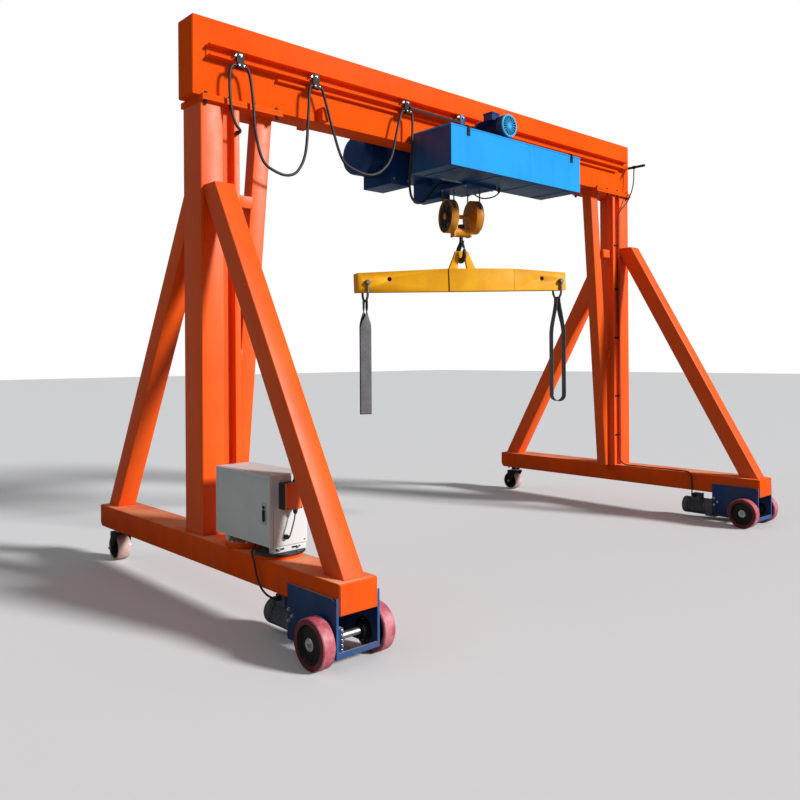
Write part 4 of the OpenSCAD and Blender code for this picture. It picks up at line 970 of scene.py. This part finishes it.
def frame_bars(x0, x1, y0, y1, z0, z1, w):
    """Four bars of width w round a rectangle in Y and Z."""
    return blocks((x0, y0, z0, x1, y1, z0 + w), (x0, y0, z1 - w, x1, y1, z1),
                  (x0, y0, z0 + w, x1, y0 + w, z1 - w), (x0, y1 - w, z0 + w, x1, y1, z1 - w))


gasket = frame_bars(DOOR_BACK, DOOR_BACK + 0.002, CAB_Y0 + 0.006, CAB_Y1 - 0.006,
                    CAB_Z0 + 0.006, CAB_Z1 - 0.006, 0.012)
piece("door_gasket", "frame", "black_rubber", gasket)
piece("rain_lip", "frame", "cabinet_paint",
      blocks((DOOR_BACK + 0.002, CAB_Y0, CAB_Z1, CAB_X1, CAB_Y1, CAB_Z1 + 0.0015),
             (DOOR_BACK + 0.002, CAB_Y0 - 0.0015, CAB_Z0 + 0.004, DOOR_BACK + 0.016, CAB_Y0, CAB_Z1),
             (DOOR_BACK + 0.002, CAB_Y1, CAB_Z0 + 0.004, DOOR_BACK + 0.016, CAB_Y1 + 0.0015, CAB_Z1)),
      bevel=0.0006)
lock_frame = frame_bars(CAB_X0 - 0.0045, CAB_X0, -0.861, -0.823, 0.637, 0.755, 0.004)
piece("lock_frame", "door", "bright_steel", lock_frame, bevel=0.0008)
lever = join(blocks((CAB_X0 - 0.010, -0.852, 0.650, CAB_X0 - 0.003, -0.832, 0.716)),
             lathe([(0.0, 0.010), (0.006, 0.010), (0.007, 0.008)],
                   (CAB_X0 - 0.003, -0.842, 0.730), (-1, 0, 0)))
piece("lock_lever", "door", "black_metal", lever, bevel=0.0025)
door_edge = frame_bars(CAB_X0 - 0.001, CAB_X0, CAB_Y0 + 0.004, CAB_Y1 - 0.004, CAB_Z0 + 0.004,
                       CAB_Z1 - 0.004, 0.014)
piece("door_fold", "door", "cabinet_paint", door_edge, bevel=0.0005)

# Black sheets on the rails' faces where the slots are: painted shade in the slots.
rail_slots = blocks(*[(x - 0.030, y - 0.0008, 0.486, x + 0.030, y, 0.496)
                      for x in (-2.44, -2.33) for y in (-0.892, -0.412)])
piece("rail_slots", "frame", "black_metal", rail_slots)
screws = [(x, CAB_Y0, z) for x in (-2.472, -2.278) for z in (0.530, 0.892)]
piece("cabinet_screws", "frame", "bright_steel",
      join(bolts(screws, FORWARD, 0.009),
           bolts([(-2.450, -0.892, 0.491), (-2.320, -0.892, 0.491)], FORWARD, 0.016)))

disc_at = (-LEG_X, -0.807, BASE_TOP + 0.020)
disc_profile = [(0.0, 0.141), (0.003, 0.145), (0.011, 0.145), (0.014, 0.141)]
piece("disc_dressed", "frame", "black_rubber", lathe(disc_profile, disc_at, "z", turns=96), bevel=0.001,
      replaces=("cabinet_disc",))
stud_ring = around(bolts([(-LEG_X + 0.118, -0.452, BASE_TOP + 0.034)], "z", 0.014),
                   (-LEG_X, -0.452, 0.0), "z", 8, start=0.2)
piece("pedestal_studs", "frame", "bright_steel", stud_ring)

RADIO_X0, RADIO_Y0, RADIO_Z0 = -2.4535, -0.982, 0.721
RADIO_X1, RADIO_Y1, RADIO_Z1 = -2.3435, -0.902, 0.871
piece("receiver_base", "frame", "receiver_plastic",
      blocks((RADIO_X0, RADIO_Y0 + 0.020, RADIO_Z0, RADIO_X1, RADIO_Y1, RADIO_Z1)), bevel=0.005,
      material=finishes["gland_plastic"], replaces=("radio_receiver",))
piece("receiver_lid", "frame", "receiver_plastic",
      blocks((RADIO_X0 + 0.001, RADIO_Y0, RADIO_Z0 + 0.001,
              RADIO_X1 - 0.001, RADIO_Y0 + 0.019, RADIO_Z1 - 0.001)), bevel=0.005)
lid_screws = [(x, RADIO_Y0, z) for x in (-2.445, -2.352) for z in (0.730, 0.862)]
aerial = lathe([(0.0, 0.009), (0.008, 0.009), (0.010, 0.006), (0.040, 0.0045), (0.042, 0.003)],
               (-2.362, -0.925, RADIO_Z1), "z", turns=16)
piece("receiver_fittings", "frame", "gland_plastic", join(bolts(lid_screws, FORWARD, 0.006), aerial))


# Festoon carriers

def hanger_shape(x):
    """A hanger plate with a rounded head, and a clamp of two halves that closes on the cable."""
    t = np.linspace(0, math.pi, 12)
    x0, x1 = x - 0.028, x + 0.028
    head = np.stack([x + 0.028 * np.cos(t), FESTOON_ROLLER_Z + 0.023 * np.sin(t)], -1)
    plate = np.vstack([head, [(x0, 3.484), (x1, 3.484)]])
    pin = lathe([(0.0, 0.007), (0.034, 0.007)], (x, -0.140, FESTOON_ROLLER_Z), "y", turns=24)
    low, high = CABLE_Z - 0.0145, CABLE_Z + 0.0145
    return join(slab(plate, "y", HANGER_Y, HANGER_BACK), pin,
                blocks((x0, -0.155, low, x1, -0.1378, high), (x0, -0.1362, low, x1, -0.119, high)),
                lathe([(-0.0285, 0.0145), (0.0285, 0.0145)], (x, CABLE_Y, CABLE_Z), "x", turns=28))


def roller_shape(x):
    """A grooved roller, and the bolts of the hanger and clamp."""
    wheel = lathe([(0.000, 0.0225), (0.003, 0.023), (0.010, 0.0215), (0.022, 0.0215), (0.029, 0.023),
                   (0.032, 0.0225)], (x, -0.106, FESTOON_ROLLER_Z), "y", turns=40)
    heads = bolts([(x, HANGER_Y, FESTOON_ROLLER_Z)], FORWARD, 0.014)
    pinch = bolts([(x + dx, -0.155, CABLE_Z) for dx in (-0.018, 0.018)], FORWARD, 0.008)
    return join(wheel, heads, pinch)


for node, x in CLAMP_XS.items():
    shape = hanger_shape(x)
    if node == "festoon_tow":
        shape = join(shape, blocks((x + 0.028, HANGER_Y, 3.493, -0.150, HANGER_BACK, 3.513),
                                   (x + 0.010, HANGER_Y, 3.486, x + 0.040, HANGER_BACK, 3.513)))
    piece(node + "_hanger", node_body[node], "black_metal", shape, bevel=0.0012, replaces=(node,))
    piece(node + "_roller", node_body[node], "bright_steel", roller_shape(x), bevel=0.0006)


# Trolley: front box, hoist body, motors, hangers and wheels

BOX_X0, BOX_Y0, BOX_Z0 = -0.640, -0.507, 3.012
BOX_X1, BOX_Y1, BOX_Z1 = 1.000, -0.072, 3.330
# The box's sides and underside take the darker copy of its blue, painted shade; its front cover keeps the
# full blue.
dressed("trolley_box", 0.006, material=shaded_blue)
piece("box_cover", "trolley", "blue_paint",
      blocks((BOX_X0 + 0.001, BOX_Y0 - 0.003, BOX_Z0 + 0.001,
              BOX_X1 - 0.001, BOX_Y0 + 0.001, BOX_Z1 - 0.017)), bevel=0.002)
dressed("hoist_body", 0.010)
dressed("trolley_frame", 0.003)


def box_lid():
    """A folded lid along the top of the box."""
    return blocks((BOX_X0 - 0.002, BOX_Y0 - 0.004, BOX_Z1 - 0.016, BOX_X1 + 0.002, BOX_Y0, BOX_Z1 - 0.006),
                  (BOX_X0 - 0.002, BOX_Y0, BOX_Z1 - 0.016, BOX_X0, BOX_Y1, BOX_Z1 - 0.006),
                  (BOX_X1, BOX_Y0, BOX_Z1 - 0.016, BOX_X1 + 0.002, BOX_Y1, BOX_Z1 - 0.006))


# Strips under the box, in the darker blue of painted shade.
box_strips = blocks(*[(x - 0.020, BOX_Y0 + 0.030, BOX_Z0 - 0.004, x + 0.020, BOX_Y1 - 0.020, BOX_Z0)
                      for x in (-0.50, -0.05, 0.42, 0.86)])
piece("box_lid", "trolley", "blue_paint", box_lid(), bevel=0.001)
piece("box_strips", "trolley", "blue_paint", box_strips, bevel=0.001, material=shaded_blue)


def latch(x):
    """A toggle latch over the box's upper edge: a strap, a hook above it and a tongue below."""
    return blocks((x - 0.016, BOX_Y0 - 0.010, BOX_Z1 - 0.070, x + 0.016, BOX_Y0, BOX_Z1 - 0.020),
                  (x - 0.010, BOX_Y0 - 0.014, BOX_Z1 - 0.040, x + 0.010, BOX_Y0 - 0.008, BOX_Z1 + 0.006),
                  (x - 0.020, BOX_Y0 - 0.008, BOX_Z1 - 0.002, x + 0.020, BOX_Y0 + 0.030, BOX_Z1 + 0.008))


piece("box_latches", "trolley", "black_metal", join(latch(-0.450), latch(0.871)), bevel=0.002)
piece("rope_anchor", "trolley", "bright_steel", join(
    blocks((-0.373, -0.152, 3.000, -0.059, -0.134, 3.012)),
    bolts([(-0.350, -0.143, 3.000), (-0.082, -0.143, 3.000)], DOWN, 0.012)), bevel=0.0015)


DRUM_END = (0.600, 0.360, 3.225)


def hoist_trim():
    """A flange between the rear body's gearbox and drum house, the drum's end cover, and a rope guide."""
    flange = blocks((-0.414, 0.180, 3.098, -0.402, 0.5355, 3.352))
    cover = lathe([(0.0, 0.115), (0.008, 0.115), (0.012, 0.105)], DRUM_END, "x", turns=64)
    rope_guide = lathe([(-0.26, 0.060), (0.26, 0.060)], (0.10, 0.330, 3.118), "x", turns=40)
    return join(flange, cover, rope_guide)


def hoist_bolts():
    """Screws round the drum's end cover, along the gearbox's joint, and at the gearbox's corners."""
    ring = around(bolts([(0.608, 0.360, 3.325)], "x", 0.012), DRUM_END, "x", 8)
    joint = bolts([(-0.408, y, 3.352) for y in (0.22, 0.32, 0.42, 0.50)], "z", 0.012)
    corners = [(x, z) for x in (-0.600, -0.440) for z in (3.030, 3.310)]
    front = bolts([(x, 0.184, z) for x, z in corners], FORWARD, 0.014)
    back = bolts([(x, 0.534, z) for x, z in corners], "y", 0.014)
    return join(ring, joint, front, back)


piece("hoist_trim", "trolley", "navy_paint", hoist_trim(), bevel=0.002)
piece("hoist_bolts", "trolley", "bright_steel", hoist_bolts())


def hoist_motor_shape():
    """A round motor along X: a flange, a barrel with fins, and a domed cowl at its free end."""
    at, y, z = -0.630, 0.378, 3.215
    barrel = lathe([(0.0, 0.158), (0.014, 0.158), (0.018, 0.146), (0.150, 0.146), (0.156, 0.158),
                    (0.205, 0.158), (0.226, 0.150), (0.241, 0.128), (0.249, 0.095), (0.250, 0.050)],
                   (at, y, z), (-1, 0, 0), turns=72)
    fin = blocks((at - 0.150, y - 0.002, z + 0.143, at - 0.020, y + 0.002, z + 0.157))
    return join(barrel, around(fin, (at, y, z), "x", 52))


piece("hoist_motor_dressed", "trolley", "navy_paint", hoist_motor_shape(), bevel=0.0015,
      replaces=("hoist_motor",), angle=28.0)


def trolley_motor_shapes():
    """A finned barrel along Y on feet, with a terminal box; its fan cowl is a ring with radial bars."""
    x, z, front, rear = 0.082, 3.445, -0.477, -0.147
    foot, seat, mouth = BOX_Z1, BOX_Z1 + 0.015, (x, front, z)
    cast = [lathe([(0.0, 0.078), (0.220, 0.078)], (x, front + 0.065, z), "y", turns=64),
            lathe([(0.0, 0.086), (0.012, 0.094), (0.030, 0.094), (0.036, 0.070)],
                  (x, rear - 0.045, z), "y", turns=64),
            blocks((x - 0.080, front + 0.070, foot, x + 0.080, front + 0.110, seat),
                   (x - 0.080, rear - 0.080, foot, x + 0.080, rear - 0.040, seat),
                   (x - 0.060, front + 0.075, seat, x - 0.035, rear - 0.050, 3.400),
                   (x + 0.035, front + 0.075, seat, x + 0.060, rear - 0.050, 3.400),
                   (-0.030, -0.384, z + 0.050, 0.059, -0.290, 3.5450),
                   (-0.033, -0.387, 3.5465, 0.062, -0.287, 3.560))]
    fin = blocks((x - 0.0014, front + 0.068, z + 0.076, x + 0.0014, rear - 0.046, z + 0.092))
    cast.append(around(fin, mouth, "y", 44, start=0.05))
    cast.append(lathe([(0.068, 0.0935), (0.014, 0.0945), (0.014, 0.088), (0.068, 0.089)], mouth, "y",
                      turns=72, ring=True))
    bar = blocks((x - 0.0028, front + 0.002, z + 0.018, x + 0.0028, front + 0.008, z + 0.078))
    cowl = [lathe([(0.014, 0.0945), (0.010, 0.0945), (0.002, 0.091), (0.0, 0.084), (0.002, 0.077),
                   (0.012, 0.074), (0.014, 0.088)], mouth, "y", turns=72, ring=True),
            around(bar, mouth, "y", 20),
            lathe([(0.002, 0.018), (0.001, 0.022), (0.008, 0.024)], mouth, "y", turns=32)]
    fan = lathe([(0.0, 0.070), (0.020, 0.072), (0.024, 0.068)], (x, front + 0.014, z), "y")
    return join(*cast), join(*cowl), fan


motor_cast, motor_cowl, motor_fan = trolley_motor_shapes()
piece("trolley_motor_dressed", "trolley", "navy_paint", motor_cast, bevel=0.0015,
      replaces=("trolley_motor",))
piece("trolley_motor_cowl", "trolley", "navy_paint", motor_cowl, bevel=0.001, material=cyan_cowl)
piece("trolley_motor_fan", "trolley", "black_metal", motor_fan)


def trolley_wheel_shapes():
    """Flanged rollers on the rails' lower flanges, each on a pin from its hanger, in front and behind."""
    made = []
    flanged = [(0.000, 0.0275), (0.002, 0.028), (0.026, 0.028), (0.030, 0.0265), (0.036, 0.0265),
               (0.036, 0.020)]
    for x in HANGER_XS:
        for s in (-1, 1):
            at = (x, MIDDLE_Y + s * 0.150, TROLLEY_ROLLER_Z)
            made.append(lathe(flanged, at, (0, -s, 0)))
            made.append(lathe([(-0.030, 0.007), (0.0, 0.007), (0.001, 0.012)], at, (0, -s, 0), turns=24))
            made.append(bolts([(x, MIDDLE_Y + s * 0.188, TROLLEY_ROLLER_Z)], (0, s, 0), 0.016))
    return join(*made)


piece("trolley_wheels_dressed", "trolley", "bright_steel", trolley_wheel_shapes(), bevel=0.0008,
      replaces=("trolley_wheels",))
hanger_bolts = [(x + dx, -0.142, z) for x in HANGER_XS for dx in (-0.018, 0.018) for z in (3.345, 3.372)]
piece("hanger_bolts", "trolley", "bright_steel", bolts(hanger_bolts, FORWARD, 0.010))
deck_bolts = [(x, y, DECK_FOOT) for x in (-0.110, 0.220) for y in (-0.160, -0.020, 0.110)]
piece("deck_bolts", "trolley", "bright_steel", bolts(deck_bolts, DOWN, 0.014))


# Hook block: covers, sheaves, ropes, crosshead and hook

dressed("hook_block", 0.002)


def at_both_sheaves(make):
    """A shape made for each sheave, from its place along the axle, and set down at the hook."""
    return at_hook(join(make(-SHEAVE_U), make(SHEAVE_U)))


def sheave_shape(u):
    """A rope sheave turned about its own axle: a grooved rim, a hollow web with ribs, and a hub."""
    at = (u - 0.025, 0.0, SHEAVE_Z)
    half = [(0.000, 0.0181), (0.000, 0.036), (0.012, 0.042), (0.012, 0.090), (0.001, 0.097), (0.000, 0.124),
            (0.005, 0.129), (0.013, 0.129), (0.019, 0.110), (0.025, 0.1070)]
    other = [(0.050 - a, r) for a, r in reversed(half[:-1])]
    ribs = around(blocks((u - 0.020, -0.004, SHEAVE_Z + 0.038, u + 0.020, 0.004, SHEAVE_Z + 0.094)),
                  (u, 0, SHEAVE_Z), "x", 6, start=0.4)
    return join(lathe(half + other, at, "x", turns=72, ring=True), ribs)


piece("sheaves_dressed", "block", "dark_iron", at_both_sheaves(sheave_shape), bevel=0.001,
      replaces=("sheaves",))


def arc(u, z, radius, low, high, count):
    """Points of an arc about (u, z), in the plane across the beam, from one angle to another."""
    t = np.linspace(low, high, count)
    return np.stack([np.full(count, u), radius * np.cos(t), z + radius * np.sin(t)], -1)


def block_trim():
    """Rims round the open edges of the covers, in front and behind, and nuts on the axle."""
    made = []
    rim_r, half_turn = 0.1400, 0.5 * math.pi - 0.62
    for s in (-1, 1):
        for middle in (0.0, math.pi):
            rim = arc(s * (SHEAVE_U + 0.0275), SHEAVE_Z, rim_r, middle - half_turn, middle + half_turn, 24)
            made.append(tube(rim, 0.0042, (1, 0, 0), turns=8))
        made.append(lathe([(0.0, 0.030), (0.008, 0.030), (0.010, 0.026)],
                          (s * (SHEAVE_U + 0.029), 0, SHEAVE_Z), (s, 0, 0), turns=6))
    return join(*made)


def block_bolts():
    """Keeper bolts on the cheek plates beside the axle and the crosshead."""
    found = []
    for s in (-1, 1):
        keepers = [(s * 0.067, v, z) for v in (-0.028, 0.028) for z in (2.722, 2.690)]
        found.append(bolts(keepers, (-s, 0, 0), 0.012))
        found.append(lathe([(0.0, 0.024), (0.006, 0.024)], (s * 0.083, 0, HEAD_Z), (s, 0, 0), turns=24))
    return join(*found)


piece("block_trim", "block", "block_paint", at_hook(block_trim()), bevel=0.0008)
piece("block_bolts", "block", "bright_steel", at_hook(block_bolts()))

rope_places = [(u, v) for u in (-SHEAVE_U, SHEAVE_U) for v in (-ROPE_V, ROPE_V)]
ropes = join(*[twisted((u, v, SHEAVE_Z), (u, v, DECK_FOOT), 0.006, 6, 0.075) for u, v in rope_places])
rope_bend = ("trolley", "block", (HOOK_X, MIDDLE_Y, DECK_FOOT), (HOOK_X, MIDDLE_Y, SHEAVE_Z))
piece("ropes_dressed", rope_bend, "rope_steel", at_hook(ropes), replaces=("wire_ropes",))


def rope_in_groove(u):
    """The half turn of rope under a sheave: a tube along the lower half of a circle."""
    return tube(arc(u, SHEAVE_Z, ROPE_V, math.pi, 2 * math.pi, 40), 0.0058, (1, 0, 0))


piece("ropes_in_grooves", "block", "rope_steel", at_both_sheaves(rope_in_groove))


SHANK_R = 0.0164


def hook_shape():
    """A forged hook: an oval section carried from the shank round the bowl to the tip."""
    turn = np.radians(np.array([38, 20, 0, -22, -45, -68, -90, -112, -135, -158, -180, -193, -205, -212]))
    reach = np.array([.064, .064, .0645] + [.065] * 4 + [.0645, .064, .063, .0615, .0615, .0635, .067])
    bowl = np.stack([reach * np.cos(turn), reach * np.sin(turn)], -1)
    neck = [(0.0, 0.224), (0.0, 0.160), (0.0, 0.120), (0.002, 0.096), (0.016, 0.076), (0.034, 0.060)]
    path = np.vstack([neck, bowl])
    thick = [SHANK_R] * 3 + [.018, .020, .0215] + [.022] * 9 + [.0205, .0195, .018, .0165, .011]
    wide = [SHANK_R] * 3 + [.018, .019, .020] + [.021] * 6
    wide += [.0215, .021, .020, .0185, .0175, .0165, .015, .009]
    points = np.stack([np.zeros(len(path)), path[:, 0], HOOK_Z + path[:, 1]], -1)
    fine = smooth_route(points, 6)
    at = np.linspace(0.0, len(path) - 1, len(fine))
    radial = np.interp(at, np.arange(len(path)), thick)[:, None, None]
    broad = np.interp(at, np.arange(len(path)), wide)[:, None, None]
    across = unit(np.cross(headings(fine), AXES["x"]))[:, None]
    turns = 28
    t = np.linspace(0, 2 * math.pi, turns, endpoint=False)[None, :, None]
    ring = fine[:, None] + radial * np.cos(t) * across + broad * np.sin(t) * np.array(AXES["x"])
    ends = np.repeat(fine[[0, -1], None], turns, 1)
    return grid(np.concatenate([ends[:1], ring, ends[1:]]), wrap_v=True)


def hook_nut():
    """A hexagon nut and a thrust race over the crosshead."""
    top = HEAD_Z + 0.0403
    return join(lathe([(0.007, 0.029), (0.026, 0.029), (0.028, 0.026)], (0, 0, top), "z", turns=6),
                lathe([(0.0, 0.028), (0.002, 0.030), (0.007, 0.030)], (0, 0, top), "z", turns=40))


def hook_latch():
    """A sprung plate from the neck to the inside of the tip, across the hook's mouth."""
    plate = slab([(-0.014, HOOK_Z + 0.098), (-0.020, HOOK_Z + 0.101), (-0.055, HOOK_Z + 0.045),
                  (-0.049, HOOK_Z + 0.040)], "x", -0.011, 0.011)
    pin = lathe([(-0.020, 0.005), (0.020, 0.005)], (0, -0.014, HOOK_Z + 0.098), "x", turns=16)
    ears = blocks((-0.017, -0.024, HOOK_Z + 0.088, -0.012, -0.004, HOOK_Z + 0.110),
                  (0.012, -0.024, HOOK_Z + 0.088, 0.017, -0.004, HOOK_Z + 0.110))
    return join(plate, pin, ears)


piece("hook_forged", "spreader", "dark_iron", at_hook(hook_shape()), replaces=("hook",), angle=60.0)
piece("hook_nut", "spreader", "dark_iron", at_hook(hook_nut()), bevel=0.0015)
piece("hook_latch", "spreader", "black_metal", at_hook(hook_latch()), bevel=0.0012)


# Spreader beam, lug, shackles and slings

dressed("spreader_beam", 0.004)
dressed("lifting_lug", 0.004)

BEAM_Z, BEAM_TOP, BEAM_HALF = 2.126, 2.318, 0.055


def spreader_welds():
    """Beads round the edges of the sleeve plates, and along both sides of the lug's feet."""
    lines = []
    for v in (-BEAM_HALF - 0.004, BEAM_HALF + 0.004):
        for u in (-0.150, 0.470):
            lines.append(bead((u, v, BEAM_Z + 0.004), (u, v, BEAM_TOP - 0.004), 0.0042))
    for v in (-0.013, 0.013):
        for u0, u1 in ((-0.128, -0.045), (0.045, 0.128)):
            lines.append(bead((u0, v, BEAM_TOP), (u1, v, BEAM_TOP), 0.0045))
    return at_hook(leaned(join(*lines)))


def spreader_eyes():
    """Bare rims of the holes for shackle pins and spare slings, on both sides of the beam."""
    rims = []
    spare = [(-0.020, 0.0165), (-0.020, 0.019), (0.0008, 0.019), (0.0008, 0.0165)]
    pinned = [(0.0, 0.0125), (0.0, 0.021), (0.001, 0.021), (0.001, 0.0125)]
    holes = [(u, BEAM_Z + 0.105, spare) for u in (-0.688, 0.755)] + [(u, PIN_Z, pinned) for u in PIN_US]
    for u, z, rim in holes:
        for s in (-1, 1):
            rims.append(lathe(rim, (u, s * BEAM_HALF, z), (0, s, 0), turns=32, ring=True))
    return at_hook(leaned(join(*rims)))


# The beads at the sleeve plates' edges are dark: a painted shadow where the sleeve steps out.
piece("spreader_welds", "spreader", "beam_paint", spreader_welds(), material=rust_and_painted_shadow)
piece("spreader_eyes", "spreader", "beam_paint", spreader_eyes(), material=rust_and_painted_shadow)


def pin_place(u):
    """Where a shackle's pin lies once the beam leans, as local (u, z)."""
    point = leaned((np.array([[u, 0.0, PIN_Z]]), []))[0][0]
    return float(point[0]), float(point[2])


SHACKLE_R, SHACKLE_LEG = 0.067, 0.084


def shackle_shape(u):
    """A bow shackle: a rod round the bow with an eye at each end, a pin and its nut."""
    pu, pz = pin_place(u)
    bow = arc(pu, pz - SHACKLE_LEG, SHACKLE_R, math.pi, 2 * math.pi, 24)
    down = np.linspace((pu, -SHACKLE_R, pz), bow[0], 8)[:-1]
    rise = np.linspace((pu, SHACKLE_R, pz), bow[-1], 8)[:-1][::-1]
    swell = np.linspace(0.0105, 0.0100, len(down))
    radii = np.concatenate([swell, np.full(len(bow), 0.0100), swell[::-1]])
    rod = tube(np.vstack([down, bow, rise]), radii, (1, 0, 0), turns=16)
    eye = [(-0.011, 0.0205), (-0.009, 0.022), (0.009, 0.022), (0.011, 0.0205)]
    eyes = [lathe(eye, (pu, s * SHACKLE_R, pz), "y", turns=32) for s in (-1, 1)]
    pin = lathe([(-0.080, 0.012), (0.080, 0.012)], (pu, 0, pz), "y", turns=28)
    head = lathe([(0.0, 0.019), (0.008, 0.019), (0.010, 0.016)], (pu, -0.078, pz), FORWARD, turns=24)
    nut = lathe([(0.0, 0.020), (0.014, 0.020)], (pu, 0.078, pz), "y", turns=6)
    return join(rod, *eyes, pin, head, nut)


piece("shackles_forged", "spreader", "shackle_steel", at_hook(join(*[shackle_shape(u) for u in PIN_US])),
      bevel=0.001, replaces=("shackles",))

WEB_T, WEB_DROP, OVER_BOW = 0.004, 0.925, 0.0132
# Depths below the bow at which the two runs stand apart, the turn is done and the strap is wide
APART, TURNED, WIDE = 0.34, 0.24, 0.22


def sling_loop(u, width, gathered, fold, twist):
    """An endless strap: down one side, round the lower fold, up the other side and over the shackle's bow.
    Its two runs part from the bow's radius to the fold's, turn by the twist about the vertical, and widen
    from the gathered width to the full one; pleats ripple where it is gathered."""
    pu, pz = pin_place(u)
    top = pz - SHACKLE_LEG - SHACKLE_R
    drop = WEB_DROP - fold
    h = np.linspace(0.0, drop, 90)
    part = OVER_BOW + (fold - OVER_BOW) * smoothstep(h, 0.0, APART)
    low = np.linspace(0.0, math.pi, 22)[1:-1]
    high = np.linspace(math.pi, 2 * math.pi, 14)[1:-1]
    q = np.concatenate([part, fold * np.cos(low), -part[::-1], OVER_BOW * np.cos(high)])
    z = top - np.concatenate([h, drop + fold * np.sin(low), h[::-1], OVER_BOW * np.sin(high)])
    depth = np.clip(top - z, 0.0, None)
    turn = (twist * smoothstep(depth, 0.02, TURNED))[:, None]
    half = (0.5 * (gathered + (width - gathered) * smoothstep(depth, 0.01, WIDE)))[:, None]
    w = np.linspace(-1.0, 1.0, 17)[None, :]
    pleated = (smoothstep(depth, 0.02, 0.06) * (1 - smoothstep(depth, 0.10, TURNED)))[:, None]
    pleat = 0.0035 * np.sin(3.5 * math.pi * w) * pleated
    out = q[:, None] + np.sign(q)[:, None] * pleat
    side = half * w
    points = np.stack([pu + out * np.cos(turn) + side * np.sin(turn),
                       -out * np.sin(turn) + side * np.cos(turn),
                       np.broadcast_to(z[:, None], out.shape)], -1)
    run = np.concatenate([[0.0], np.cumsum(np.hypot(np.diff(q), np.diff(z)))])
    length = float(run[-1] + math.hypot(q[0] - q[-1], z[0] - z[-1]))
    strap_map = np.stack(np.broadcast_arrays(0.5 * width * w, run[:, None]), -1)
    return at_hook(grid(points, wrap_u=True)), strap_map.reshape(-1, 2), length


def sling(name, u, width, gathered, fold, twist, replaces=()):
    """A strap as an open sheet with its own map, thickened by Solidify."""
    (points, faces), strap_map, length = sling_loop(u, width, gathered, fold, twist)
    mesh = bpy.data.meshes.new(name)
    mesh.from_pydata(points.tolist(), [], faces)
    corner = np.empty(len(mesh.loops), int)
    mesh.loops.foreach_get("vertex_index", corner)
    layer = mesh.uv_layers.new(name="strap")
    layer.data.foreach_set("uv", strap_map[corner].ravel())
    mesh.polygons.foreach_set("use_smooth", np.ones(len(mesh.polygons), bool))
    obj = linked(name, mesh)
    mesh.materials.append(finishes["sling_web"])
    thickness = obj.modifiers.new("thickness", "SOLIDIFY")
    thickness.thickness = WEB_T
    thickness.offset = 0.0
    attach(obj, "spreader")
    if replaces:
        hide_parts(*replaces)


sling("near_sling", PIN_US[0], 0.095, 0.055, 0.010, math.radians(90), replaces=("slings",))
sling("far_sling", PIN_US[1], 0.095, 0.060, 0.058, math.radians(12))


# Stage: floor, world and lamps

FLOOR_HALF = 60
FLOOR_SEEN, FLOOR_LIT = (0.80, 0.80, 0.81), (0.30, 0.31, 0.31)
SKY_TINT, SKY_STRENGTH = (0.96, 0.98, 1.0, 1.0), 0.18
WHITE = (1.0, 1.0, 1.0, 1.0)

floor_mesh = bpy.data.meshes.new("floor")
floor_mesh.from_pydata(rectangle(-FLOOR_HALF, FLOOR_HALF, -FLOOR_HALF, FLOOR_HALF, 0), [], [(0, 1, 2, 3)])
floor = linked("floor", floor_mesh)
floor_finish = Finish("pale_floor")
seen = floor_finish.add("ShaderNodeLightPath")
floor_mesh.materials.append(floor_finish.use(base_color=floor_finish.mix(seen, FLOOR_LIT, FLOOR_SEEN),
                                             roughness=0.85))

world = bpy.data.worlds.new("studio")
bpy.context.scene.world = world
world.use_nodes = True
sky = world.node_tree
background = sky.nodes["Background"]
background.inputs["Color"].default_value = SKY_TINT
background.inputs["Strength"].default_value = SKY_STRENGTH
white = sky.nodes.new("ShaderNodeBackground")
white.inputs["Color"].default_value = WHITE
rays = sky.nodes.new("ShaderNodeLightPath")
choose = sky.nodes.new("ShaderNodeMixShader")
sky.links.new(rays.outputs["Is Camera Ray"], choose.inputs[0])
sky.links.new(background.outputs[0], choose.inputs[1])
sky.links.new(white.outputs[0], choose.inputs[2])
sky.links.new(choose.outputs[0], sky.nodes["World Output"].inputs["Surface"])


def sun(name, towards, strength, softness):
    """A lamp far away, whose light comes from the given direction."""
    data = bpy.data.lights.new(name, "SUN")
    data.energy = strength
    data.angle = softness
    lamp = linked(name, data)
    lamp.rotation_euler = Vector(towards).to_track_quat("Z", "Y").to_euler()


sun("key", (0.38, -0.84, 0.46), 4.1, 0.18)
sun("fill", (-0.60, 0.25, 0.75), 0.22, 0.80)

bpy.context.scene.view_settings.view_transform = "Standard"
